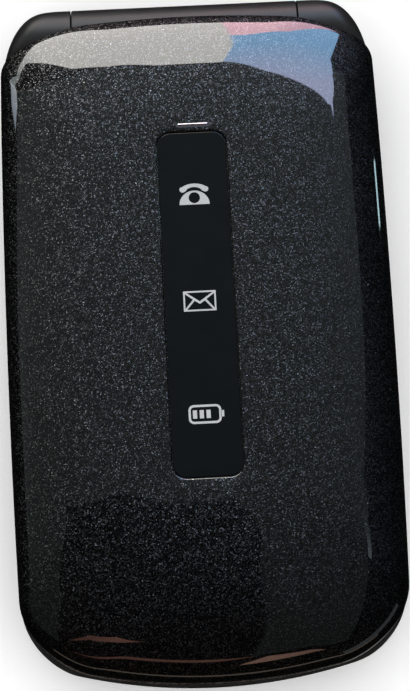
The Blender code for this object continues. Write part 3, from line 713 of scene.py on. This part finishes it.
def call_bar():
    """The bright bar above the window: a half-round strip in a dark seat."""
    x, y = CALL_BAR
    seat = [(0, LID_TOP - 0.2), (0, LID_TOP), (0.05, LID_TOP + 0.015)]
    bm = shaped(slab, (x, y), (4.7, 0.66), 0.32, seat)
    show(mesh_object("call_bar_seat", bm), "lid", "dark_plastic", "key_sign")
    bar = [(0, LID_TOP - 0.1), (0, LID_TOP + 0.03), (0.06, LID_TOP + 0.08),
           (0.14, LID_TOP + 0.1)]
    bm = shaped(slab, (x, y + 0.08), (4.3, 0.30), 0.14, bar)
    show(mesh_object("call_bar", bm), "lid", "metal_trim", replaced=["call_light_bar"])


def lid_tray():
    """The frame round the screen, in one piece with the hinge knuckle."""
    pocket = WALL + 0.1
    levels = ((0.5, LID_BOTTOM), (0.15, LID_BOTTOM + 0.12), (0.03, LID_BOTTOM + 0.4),
              (0.03, FRAME_TOP), (pocket, FRAME_TOP), (pocket, FRAME_TOP - 0.8))
    loops = [level(lid_outline(inset), z) for inset, z in levels]
    obj = mesh_object("lid_tray", shaped(loft, loops))
    bevel = 0.12
    knuckle = [(-KNUCKLE_HALF, BARREL_RADIUS - bevel), (-KNUCKLE_HALF + bevel, BARREL_RADIUS),
               (KNUCKLE_HALF - bevel, BARREL_RADIUS), (KNUCKLE_HALF, BARREL_RADIUS - bevel)]
    carve(obj, shaped(turned_x, knuckle), "UNION")
    cuts = bmesh.new()
    for low, high in ((-30.0, -KNUCKLE_HALF), (KNUCKLE_HALF, 30.0)):
        turned_x(cuts, [(low, CLEARANCE_RADIUS), (high, CLEARANCE_RADIUS)])
    carve(obj, cuts)
    cartridge_bore = 2.7
    cuts = bmesh.new()
    turned_x(cuts, [(-20, cartridge_bore), (20, cartridge_bore)], segments=48)
    box(cuts, (-8.4, -1.6), (BARREL_Y - 5.0, BARREL_Y - 0.6), (13.2, 15.2))  # flex cable
    carve(obj, cuts)
    cuts = bmesh.new()
    slab(cuts, (0, SCREEN_Y), [s + 2 * LENS_GAP for s in LENS], 2.2,
         [(-0.1, LID_BOTTOM - 1), (0, LID_BOTTOM + 0.1), (0, LID_BOTTOM + 1.0)])
    slab(cuts, (0, SCREEN_Y), SCREEN, 1.0, [(0, LID_BOTTOM + 0.5), (0, FRAME_TOP + 1)])
    carve(obj, cuts)
    cuts = bmesh.new()
    for i in (-1, 0, 1):
        slab(cuts, (0, EARPIECE_Y - EARPIECE_PITCH * i), (10.0 - 2.0 * abs(i), 0.7), 0.34,
             [(0, LID_BOTTOM - 1), (0, FRAME_TOP + 1)])
    for x, y in LID_BUMPERS:
        turned_z(cuts, x, y, [(2.3, LID_BOTTOM - 1), (2.3, LID_BOTTOM + 0.7)])
    for x, y in LID_SCREWS:
        turned_z(cuts, x, y, [(1.9, LID_BOTTOM - 1), (1.9, LID_BOTTOM + 0.8),
                              (1.1, LID_BOTTOM + 0.8), (1.1, FRAME_TOP + 1)])
    carve(obj, cuts)
    show(obj, "lid", "dark_plastic", replaced=["lid_inner_frame"])


def screen():
    """The lens over the screen, with a fine bevel round its face."""
    levels = [(0.35, LID_BOTTOM + 0.05), (0.12, LID_BOTTOM + 0.09), (0, LID_BOTTOM + 0.25),
              (0, LID_BOTTOM + 0.7)]
    obj = mesh_object("screen_lens", shaped(slab, (0, SCREEN_Y), LENS, 1.9, levels, 8))
    show(obj, "lid", "screen", replaced=["display_lens"])


# ---- base

def ear(side):
    """One hinge ear: the barrel's round, rounded off towards the phone's side above."""
    columns = 20
    turns = 96
    rear_x, rear_y = REAR_CORNER
    corner_start = HALF_LENGTH - rear_y

    def half_width(y):
        bend = 1 - 2 * SIDE_BOW / BODY_WIDTH * min(y / HALF_LENGTH, 1.0) ** 2
        share = min(max((y - corner_start) / rear_y, 0.0), 1.0)
        return (BODY_WIDTH / 2 - rear_x + rear_x * math.sqrt(1 - share ** 2)) * bend - 0.03

    bm = bmesh.new()
    rings = []
    for column in range(columns + 1):
        u = 1 - (1 - column / columns) ** 2
        ring = []
        for i in range(turns):
            angle = 2 * math.pi * i / turns
            y = BARREL_Y + BARREL_RADIUS * math.cos(angle)
            edge = half_width(y)
            x = mix(EAR_START, edge, u)
            height = BARREL_RADIUS * math.sin(angle)
            if height > 0:
                near = min((edge - x) / EAR_ROUND, 1.0)
                height *= math.sqrt(1 - (1 - near) ** 2)
            ring.append(bm.verts.new((side * x, y, BARREL_Z + height)))
        rings.append(ring)
    for first, second in zip(rings, rings[1:]):
        for i in range(turns):
            j = (i + 1) % turns
            bm.faces.new((first[i], first[j], second[j], second[i]))
    bm.faces.new(rings[0])
    last = rings[-1]
    for i in range(turns // 2):
        j = i + 1
        corners = dict.fromkeys(last[k] for k in (i, j, -j % turns, -i % turns))
        bm.faces.new(list(corners))
    name = "hinge_ear_right" if side > 0 else "hinge_ear_left"
    show(mesh_object(name, bm), "base", "dark_plastic")


def digit_keys():
    """Each digit key's name and centre, row by row from the top left."""
    keys = []
    for i, label in enumerate([*"123456789", "star", "0", "hash"]):
        row, column = divmod(i, 3)
        keys.append((f"key_{label}", ((column - 1) * DIGIT_PITCH[0],
                                      DIGIT_TOP_ROW - row * DIGIT_PITCH[1])))
    return keys


def key_wells(bm):
    """The openings in the key plate, each with a small chamfer at the top."""
    levels = [(0, PLATE_UNDERSIDE - 1), (0, BASE_TOP - 0.1),
              (-0.12, BASE_TOP + 0.02), (-0.12, BASE_TOP + 1)]
    wells = [(centre, DIGIT_KEY, KEY_CORNER) for _, centre in digit_keys()]
    wells += [(centre, size, KEY_CORNER) for _, centre, size, _ in FUNCTION_KEYS]
    wells.append((NAV_CENTRE, NAV_SIZE, NAV_CORNER))
    for centre, size, corner in wells:
        slab(bm, centre, [s + 2 * KEY_GAP for s in size], corner + KEY_GAP, levels)


def side_opening(bm, side, y, z):
    """A round-cornered opening in one of the base's sides."""
    section = rounded_rectangle(((y[0] + y[1]) / 2, (z[0] + z[1]) / 2),
                                (y[1] - y[0], z[1] - z[0]), 1.1)
    loft(bm, [[(side * x, py, pz) for py, pz in section] for x in SIDE_CUT])


def front_shell():
    """The upper half of the base: key plate, side walls and screw bosses."""
    cavity = base_outline(WALL, CAVITY_REAR + WALL)
    outside = ((0.16, FRONT_SHELL_BOTTOM), (0.08, FRONT_SHELL_BOTTOM + 0.08), (0.0, 7.5),
               (0.0, BASE_TOP - 0.55), (0.06, BASE_TOP - 0.28), (0.2, BASE_TOP - 0.09),
               (0.45, BASE_TOP))
    loops = [level(cavity, PLATE_UNDERSIDE), level(cavity, FRONT_SHELL_BOTTOM)]
    loops += [level(base_outline(inset), z) for inset, z in outside]
    obj = mesh_object("front_shell", shaped(loft, loops))
    columns = bmesh.new()
    for x, y in BOSSES:
        turned_z(columns, x, y, [(2.2, FRONT_SHELL_BOTTOM), (2.2, PLATE_UNDERSIDE + 0.3)])
    carve(obj, columns, "UNION")
    carve(obj, shaped(box, (-FAR, FAR), (BARREL_Y, FAR), (-FAR, FAR)))
    carve(obj, shaped(turned_x, [(x, CLEARANCE_RADIUS) for x in (-EAR_START, EAR_START)]))
    cuts = bmesh.new()
    for x, y in BOSSES:
        turned_z(cuts, x, y, [(1.05, FRONT_SHELL_BOTTOM - 1), (1.05, PLATE_UNDERSIDE)])
    key_wells(cuts)
    turned_z(cuts, *MICROPHONE, [(0.5, PLATE_UNDERSIDE - 1), (0.5, BASE_TOP + 1)])
    carve(obj, cuts)
    half_length = ROCKER_LENGTH / 2 + ROCKER_GAP
    half_height = ROCKER_HEIGHT / 2 + ROCKER_GAP
    cuts = bmesh.new()
    side_opening(cuts, 1, (ROCKER_Y - half_length, ROCKER_Y + half_length),
                 (ROCKER_Z - half_height, ROCKER_Z + half_height))
    side_opening(cuts, -1, SOCKET_Y, SOCKET_Z)
    carve(obj, cuts)
    show(obj, "base", "dark_plastic", replaced=["base_front_housing"])


def rim_trim():
    """A thin bright frame round the key plate, in the seam under the lid's edge."""
    outer, inner = ([min(pair, key=lambda p: math.hypot(*p))
                     for pair in zip(lid_outline(lid_inset), base_outline(base_inset))]
                    for lid_inset, base_inset in ((-0.16, 0.42), (0.75, 1.3)))
    bevelled = [(mix(x, inner_x, 0.12), mix(y, inner_y, 0.12))
                for (x, y), (inner_x, inner_y) in zip(outer, inner)]
    low = BASE_TOP - 0.3
    top = BASE_TOP + 0.12
    loops = [level(inner, low), level(outer, low), level(outer, top - 0.08),
             level(bevelled, top), level(inner, top)]
    obj = mesh_object("rim_trim", shaped(loft, loops, closed=True))
    carve(obj, shaped(box, (-FAR, FAR), (BARREL_Y - 4.75, FAR), (0, 20)))
    show(obj, "base", "metal_trim")


def back_levels(top, steps=16):
    """(inset, z) pairs of the rounded back edge, from the flat back up to a height."""
    levels = []
    end = math.acos(1 - top / BACK_HEIGHT)
    for i in range(steps + 1):
        angle = end * i / steps
        levels.append((BACK_ROUND * (1 - math.sin(angle)),
                       BACK_HEIGHT * (1 - math.cos(angle))))
    return levels


def rear_shell():
    """The lower half of the base: battery frame in front, closed back behind it."""
    levels = back_levels(REAR_SHELL_TOP - 0.4)
    levels += [(0.05, REAR_SHELL_TOP - 0.2), (0.08, REAR_SHELL_TOP - 0.08),
               (0.16, REAR_SHELL_TOP)]
    loops = [level(base_outline(inset, REAR_SHELL_END), z) for inset, z in levels]
    obj = mesh_object("rear_shell", shaped(loft, loops))
    carve(obj, shaped(box, (-FAR, FAR), (-FAR, COVER_END + 0.1), (-2, COVER_TOP + 0.08)))
    over_battery = [(x, min(y, COVER_END + 1.0)) for x, y in base_outline(WALL, CAVITY_REAR)]
    carve(obj, shaped(loft, [level(over_battery, z) for z in (4.3, REAR_SHELL_TOP + 1)]))
    rear_bay = ((0, 27.4), (48.0, 26.0), 2.5, [(0, 1.3), (0, REAR_SHELL_TOP + 1)])
    carve(obj, shaped(slab, *rear_bay))
    columns = bmesh.new()
    for x, y in BOSSES[2:]:
        turned_z(columns, x, y, [(2.9, 0.6), (2.9, REAR_SHELL_TOP - 0.1)])
    carve(obj, columns, "UNION")
    cuts = bmesh.new()
    box(cuts, (-18.7, 18.7), (-37.7, 10.7), (2.0, 7.0))  # battery
    box(cuts, (-5.4, 5.4), (10.0, 15.0), (3.2, 7.0))     # its contacts
    for x, y in BOSSES:
        turned_z(cuts, x, y, [(2.0, -1), (2.0, 3.1), (1.1, 3.3), (1.1, 7)])
    turned_z(cuts, 0.0, CAMERA_Y,
             [(4.3, -1), (3.9, 0.3), (3.9, 1.0), (3.0, 1.0), (3.0, 2.0)], 48)
    for i in range(4):
        slab(cuts, (SPEAKER[0], SPEAKER[1] + SPEAKER_PITCH * i), (8.0, 0.8), 0.38,
             [(0, -1), (0, 2.0)])
    carve(obj, cuts)
    show(obj, "base", "dark_plastic", replaced=["base_rear_housing"])


def back_cover():
    """The sliding battery cover: a thin shell with the base's rounded edge and four grips."""
    thickness = 1.1
    outer = back_levels(COVER_TOP)
    inner = [(inset + thickness, z) for inset, z in outer if z > thickness]
    inner = [(inner[0][0] + 1.5, thickness)] + inner
    loops = [level(base_outline(inset), z) for inset, z in inner + list(reversed(outer))]
    obj = mesh_object("back_cover", shaped(loft, loops))
    carve(obj, shaped(box, (-FAR, FAR), (COVER_END, FAR), (-2, 8)))
    grips = bmesh.new()
    for i in range(4):
        slab(grips, (0, 4.6 + 1.3 * i), (14.0 - 1.6 * i, 0.6), 0.28, [(0.2, 0.25), (0, -1.0)])
    carve(obj, grips)
    show(obj, "battery_cover", "dark_plastic", replaced=["battery_cover"])


# ---- keys

def cap(name, centre, size, slot, corner=KEY_CORNER, top=KEY_TOP):
    """A key cap with rounded shoulders, a slight crown and a flange under the plate."""
    flange = -0.55
    levels = [(flange, FLANGE_BOTTOM), (flange, FLANGE_TOP), (0.0, FLANGE_TOP),
              (0.0, top - 0.42), (0.05, top - 0.26), (0.16, top - 0.15), (0.36, top - 0.08),
              (0.8, top - 0.04), (1.6, top - 0.01), (2.6, top)]
    bm = shaped(slab, centre, size, corner, levels)
    show(mesh_object(f"cap_{name}", bm), name, slot, replaced=[name])


def letter(name, text, body, centre, height, z, finish):
    """A digit or sign on a key, as a thin raised print."""
    curve = bpy.data.curves.new(name, "FONT")
    curve.body = text
    curve.size = height * MM
    curve.align_x = "CENTER"
    curve.align_y = "CENTER"
    curve.extrude = SIGN_HEIGHT / 2 * MM
    curve.resolution_u = 4
    source = added(name, curve)
    bpy.context.view_layer.update()
    mesh = bpy.data.meshes.new_from_object(
        source.evaluated_get(bpy.context.evaluated_depsgraph_get()))
    bpy.data.objects.remove(source)
    bm = bmesh.new()
    bm.from_mesh(mesh)
    bmesh.ops.remove_doubles(bm, verts=bm.verts, dist=1e-7)
    xs = [v.co.x for v in bm.verts]
    ys = [v.co.y for v in bm.verts]
    shift = Vector((centre[0] * MM - (min(xs) + max(xs)) / 2,
                    centre[1] * MM - (min(ys) + max(ys)) / 2, z * MM))
    bmesh.ops.translate(bm, vec=shift, verts=bm.verts)
    bmesh.ops.scale(bm, vec=(1 / MM, 1 / MM, 1 / MM), verts=bm.verts)
    show(mesh_object(name, bm), body, "key_plastic", finish)


def sign(name, body, shapes, centre, z, finish, angle=0.0):
    """A flat sign on a key, from outlines about its centre, turned by an angle."""
    c, s = math.cos(math.radians(angle)), math.sin(math.radians(angle))
    bm = bmesh.new()
    for loops in shapes:
        turned = [[(centre[0] + c * x - s * y, centre[1] + s * x + c * y) for x, y in loop]
                  for loop in loops]
        plate(bm, turned, z - 0.05, z + SIGN_HEIGHT)
    show(mesh_object(name, bm), body, "key_plastic", finish)


def handset():
    """The outline of a telephone receiver, for the call and end keys."""
    return (arc((-1.75, -0.30), 0.55, 120, 300, 8)
            + arc((0.0, -0.75), (1.25, 0.85), 160, 20, 10)
            + arc((1.75, -0.30), 0.55, 240, 420, 8)
            + arc((0.0, -0.55), (2.0, 1.25), 35, 145, 12))


def keypad():
    """The digit keys, the four function keys and the navigation rocker, with their prints."""
    for name, centre in digit_keys():
        cap(name, centre, DIGIT_KEY, "key_plastic")
        text = {"star": "*", "hash": "#"}.get(name[4:], name[4:])
        letter(f"print_{name}", text, name, centre, DIGIT_HEIGHT, KEY_TOP, "key_sign")
    for name, centre, size, slot in FUNCTION_KEYS:
        cap(name, centre, size, slot)
    dash = [[rounded_rectangle((0, 0), (3.2, 0.55), 0.25, 3)]]
    prints = ((dash, "key_sign", 0), (dash, "key_sign", 0),
              ([[handset()]], "light_sign", 35), ([[handset()]], "light_sign", 0))
    for (name, centre, _, _), (shapes, finish, angle) in zip(FUNCTION_KEYS, prints):
        sign(f"print_{name}", name, shapes, centre, KEY_TOP, finish, angle)
    cap("nav_rocker", NAV_CENTRE, NAV_SIZE, "nav_trim", NAV_CORNER, NAV_TOP)
    arrow = [[[(-1.1, 0.0), (1.1, 0.0), (0.0, 1.2)]]]
    for label, y, angle in (("up", 5.8, 0), ("down", -5.8, 180)):
        sign(f"print_nav_{label}", "nav_rocker", arrow, (0.0, NAV_CENTRE[1] + y), NAV_TOP,
             "key_sign", angle)
    sign("print_nav_middle", "nav_rocker",
         [[arc((0, 0), 2.3, 0, 350, 35), arc((0, 0), 1.85, 0, 350, 35)]],
         NAV_CENTRE, NAV_TOP, "key_sign")


def volume_key():
    """The volume rocker: a bar with a rounded face and a flange inside the wall."""
    sections = (            # X, then how much longer and taller at each end than the bar
        (24.8, 0.7, 0.25), (25.4, 0.7, 0.25), (25.4, 0.0, 0.0), (26.85, 0.0, 0.0),
        (27.10, -0.08, -0.08), (27.28, -0.28, -0.28), (27.36, -0.6, -0.6))
    loops = []
    for x, longer, taller in sections:
        size = (ROCKER_LENGTH + 2 * longer, ROCKER_HEIGHT + 2 * taller)
        section = rounded_rectangle((ROCKER_Y, ROCKER_Z), size, 0.85, 8)
        loops.append([(x, y, z) for y, z in section])
    show(mesh_object("volume_key", shaped(loft, loops)), "volume_rocker", "key_plastic",
         replaced=["volume_rocker"])


# ---- the kept CAD nodes

def dress_frame():
    """Gives each CAD node the procedural material of its slot."""
    for row in frame["record"]["subparts"]:
        node = frame["nodes"][row["node"]]
        node.data.materials.clear()
        node.data.materials.append(FINISHES[row["material_slot"]])


# ---- floor, light and camera

def floor():
    """A plain pale sheet just below the phone."""
    bm = bmesh.new()
    bmesh.ops.create_grid(bm, x_segments=8, y_segments=8, size=FLOOR_HALF)
    obj = mesh_object("floor", bm)
    made, tree, shader, place = blank("floor_paper")
    tone = noise(tree, place, 30.0, 5.0)
    tree.links.new(mixed(tree, tone, (0.84, 0.84, 0.84), (0.88, 0.88, 0.88)),
                   shader.inputs["Base Color"])
    constants(shader, {"Roughness": 0.9, "Specular IOR Level": 0.0})
    obj.data.materials.append(made)
    obj.location.z = -FLOOR_DROP * MM
    obj.visible_glossy = False


def panel(name, centre, target, size, radiance, colour, lights):
    """A soft rectangular light, in metres, that no camera sees directly.

    lights is "gloss" for one that only has mirror images, "matt" for one that has none.
    """
    light = bpy.data.lights.new(name, "AREA")
    light.shape = "RECTANGLE"
    light.size, light.size_y = size
    light.energy = radiance * size[0] * size[1] * math.pi
    light.color = colour
    obj = added(name, light)
    obj.location = centre
    aim = Vector(target) - Vector(centre)
    obj.rotation_euler = aim.to_track_quat("-Z", "Y").to_euler()
    obj.visible_camera = False
    obj.visible_glossy = lights == "gloss"
    obj.visible_diffuse = lights == "matt"


def upright(y, corners):
    """Points of a card that stands across the phone, from its (x, z) corners."""
    return [(x, y, z) for x, z in corners]


def overhead(z, corners):
    """Points of a card that lies level above the phone, from its (x, y) corners."""
    return [(x, y, z) for x, y in corners]


def card(name, corners, first, second, axis, start, end):
    """A glowing flat card that shows only in gloss; its corners are in metres.

    Its colour runs from the first to the second between start and end along an axis.
    """
    bm = bmesh.new()
    bm.faces.new([bm.verts.new(corner) for corner in corners])
    mesh = bpy.data.meshes.new(name)
    bm.to_mesh(mesh)
    bm.free()
    obj = added(name, mesh)
    made, tree, shader, place = blank(name)
    tree.nodes.remove(shader)
    glow = tree.nodes.new("ShaderNodeEmission")
    parts = tree.nodes.new("ShaderNodeSeparateXYZ")
    tree.links.new(place, parts.inputs["Vector"])
    run = spread(tree, parts.outputs[axis], start, end)
    tree.links.new(mixed(tree, run, first, second), glow.inputs["Color"])
    tree.links.new(glow.outputs["Emission"], tree.nodes["Material Output"].inputs["Surface"])
    mesh.materials.append(made)
    obj.visible_camera = False
    obj.visible_diffuse = False
    obj.visible_shadow = False


def lighting():
    """What the lid mirrors, and an even light for matt surfaces.

    The rear slope mirrors the cards behind the hinge end, the front slope the brown ones
    and the flat a dim ceiling. The ceiling ends on the right and has a notch, so the right
    slope and a patch at the front stay black. Low panels draw thin lines along the edges.
    """
    card("card_cream", upright(REAR_CARDS_Y, [
        (-0.26, 0.09), (0.03, 0.09), (0.045, 0.78), (-0.12, 0.79), (-0.22, 0.73),
        (-0.30, 0.54), (-0.40, 0.38), (-0.64, 0.55), (-1.14, 0.60), (-1.14, 0.26),
        (-0.90, 0.36), (-0.64, 0.46), (-0.40, 0.27)]),
        (1.7, 1.9, 1.9), (5.6, 5.5, 5.2), "X", -0.62, -0.26)
    card("card_grey", upright(REAR_CARDS_Y, [
        (-1.14, 0.26), (-1.14, 0.60), (-1.38, 0.78), (-1.52, 0.70), (-1.52, 0.42)]),
        (2.2, 2.5, 2.9), (4.0, 4.3, 4.4), "X", -1.5, -1.1)
    card("card_pink", upright(REAR_CARDS_Y, [
        (0.03, 0.09), (0.30, 0.09), (0.25, 0.13), (0.15, 0.34), (0.034, 0.35)]),
        (7.6, 4.7, 5.3), (4.4, 2.6, 3.6), "X", 0.08, 0.26)
    card("card_blue", upright(REAR_CARDS_Y, [
        (0.034, 0.35), (0.15, 0.34), (0.25, 0.13), (0.31, 0.13), (0.35, 0.42),
        (0.38, 0.65), (0.49, 0.89), (0.78, 1.33), (0.90, 1.48), (0.71, 1.38),
        (0.41, 1.12), (0.24, 1.00), (0.16, 0.95), (0.045, 0.78)]),
        (1.9, 3.7, 5.9), (3.5, 3.9, 5.6), "Z", 0.5, 1.0)
    card("card_front_high", upright(FRONT_CARDS_Y, [
        (-1.0, 1.30), (-0.75, 1.80), (-0.43, 1.82), (-0.10, 1.62), (-0.43, 2.15),
        (-0.80, 2.12)]),
        (0.5, 0.22, 0.16), (0.9, 0.42, 0.32), "X", -0.9, -0.4)
    card("card_front_low", upright(FRONT_CARDS_Y, [
        (-0.80, 0.74), (0.02, 0.80), (0.10, 0.90), (-0.34, 0.90)]),
        (0.5, 0.22, 0.16), (0.7, 0.34, 0.26), "X", -0.6, 0.0)
    card("card_front_right", upright(FRONT_CARDS_Y, [
        (0.06, 0.58), (0.30, 0.66), (0.12, 0.84)]),
        (1.4, 0.8, 0.6), (0.9, 0.5, 0.4), "X", 0.1, 0.3)
    card("card_ceiling", overhead(CEILING_Z, [
        (-4.5, 1.0), (-4.5, -1.6), (-1.70, -1.6), (-1.57, -1.38), (-0.78, -0.32),
        (-0.76, -0.05), (-0.72, 0.165), (-0.29, 0.14), (-0.06, 0.125), (0.05, 0.13),
        (0.08, 0.09), (0.11, 0.03), (0.08, -0.35), (0.12, -1.03), (0.14, -1.6),
        (1.0, -1.6), (0.84, -0.52), (0.83, -0.05), (1.06, 0.19), (1.30, 0.31),
        (1.40, 0.43), (1.35, 0.75), (1.1, 1.0)]),
        (0.056, 0.068, 0.065), (0.18, 0.21, 0.21), "Y", 0.0, 0.6)
    card("card_streak", overhead(CEILING_Z - 0.01, [
        (0.98, 0.18), (0.85, -0.11), (0.93, -0.13), (1.12, 0.18)]),
        (0.55, 0.66, 0.72), (0.09, 0.11, 0.12), "Y", -0.10, 0.16)
    panel("side_light", (1.2, 0.336, 0.06), (0.0, 0.336, 0.06), (0.055, 0.12), 7.0,
          (0.62, 0.92, 1.0), "gloss")
    panel("front_right", (1.6, -1.6, 0.45), (0.0, 0.0, 0.0), (1.8, 0.5), 0.3,
          (0.9, 0.95, 1.0), "gloss")
    panel("front_low", (0.0, -1.2, 0.06), (0.0, 0.0, 0.06), (2.4, 0.12), 0.6,
          (1.0, 0.82, 0.68), "gloss")
    panel("top_panel", (-0.1, 0.0, 1.2), (-0.1, 0.0, 0.0), (2.0, 2.0), 0.9, (1.0, 1.0, 1.0),
          "matt")


def surroundings():
    """A white world that is bright for matt surfaces and the camera, and dark in gloss."""
    world = bpy.data.worlds.new("studio")
    world.use_nodes = True
    tree = world.node_tree
    path = tree.nodes.new("ShaderNodeLightPath")
    white = (1.0, 1.0, 1.0, 1.0)
    shader = tree.nodes["Background"]
    constants(shader, {"Color": white, "Strength": WORLD_MATT})
    for kind, brightness in (("Is Glossy Ray", WORLD_GLOSS), ("Is Camera Ray", WORLD_SEEN)):
        other = tree.nodes.new("ShaderNodeBackground")
        constants(other, {"Color": white, "Strength": brightness})
        either = tree.nodes.new("ShaderNodeMixShader")
        tree.links.new(path.outputs[kind], either.inputs["Fac"])
        tree.links.new(shader.outputs[0], either.inputs[1])
        tree.links.new(other.outputs[0], either.inputs[2])
        shader = either
    tree.links.new(shader.outputs[0], tree.nodes["World Output"].inputs["Surface"])
    bpy.context.scene.world = world


def camera():
    """Nearly straight above, a little from the front and the left, and slightly rolled."""
    elevation, azimuth, roll = (math.radians(angle) for angle in CAMERA_ANGLES)
    back = Vector((math.sin(azimuth) * math.cos(elevation),
                   -math.cos(azimuth) * math.cos(elevation), math.sin(elevation)))
    right = Vector((math.cos(azimuth), math.sin(azimuth), 0.0))
    up = back.cross(right)
    x_axis = math.cos(roll) * right - math.sin(roll) * up
    y_axis = math.sin(roll) * right + math.cos(roll) * up
    data = bpy.data.cameras.new("camera")
    data.sensor_width = SENSOR_WIDTH
    data.lens = FOCAL_LENGTH
    data.clip_start = 0.01
    data.clip_end = 20.0
    obj = added("camera", data)
    turn = Matrix((x_axis, y_axis, back)).transposed()
    place = Vector(CAMERA_TARGET) + CAMERA_DISTANCE * back
    obj.matrix_world = Matrix.Translation(place) @ turn.to_4x4()
    bpy.context.scene.camera = obj


# ---- assembly

camera()
floor()
lighting()
surroundings()
dress_frame()
lid_cover()
status_window()
window_icons()
call_bar()
lid_tray()
screen()
front_shell()
rim_trim()
rear_shell()
back_cover()
ear(-1)
ear(1)
keypad()
volume_key()

bpy.context.scene.view_settings.view_transform = "Standard"
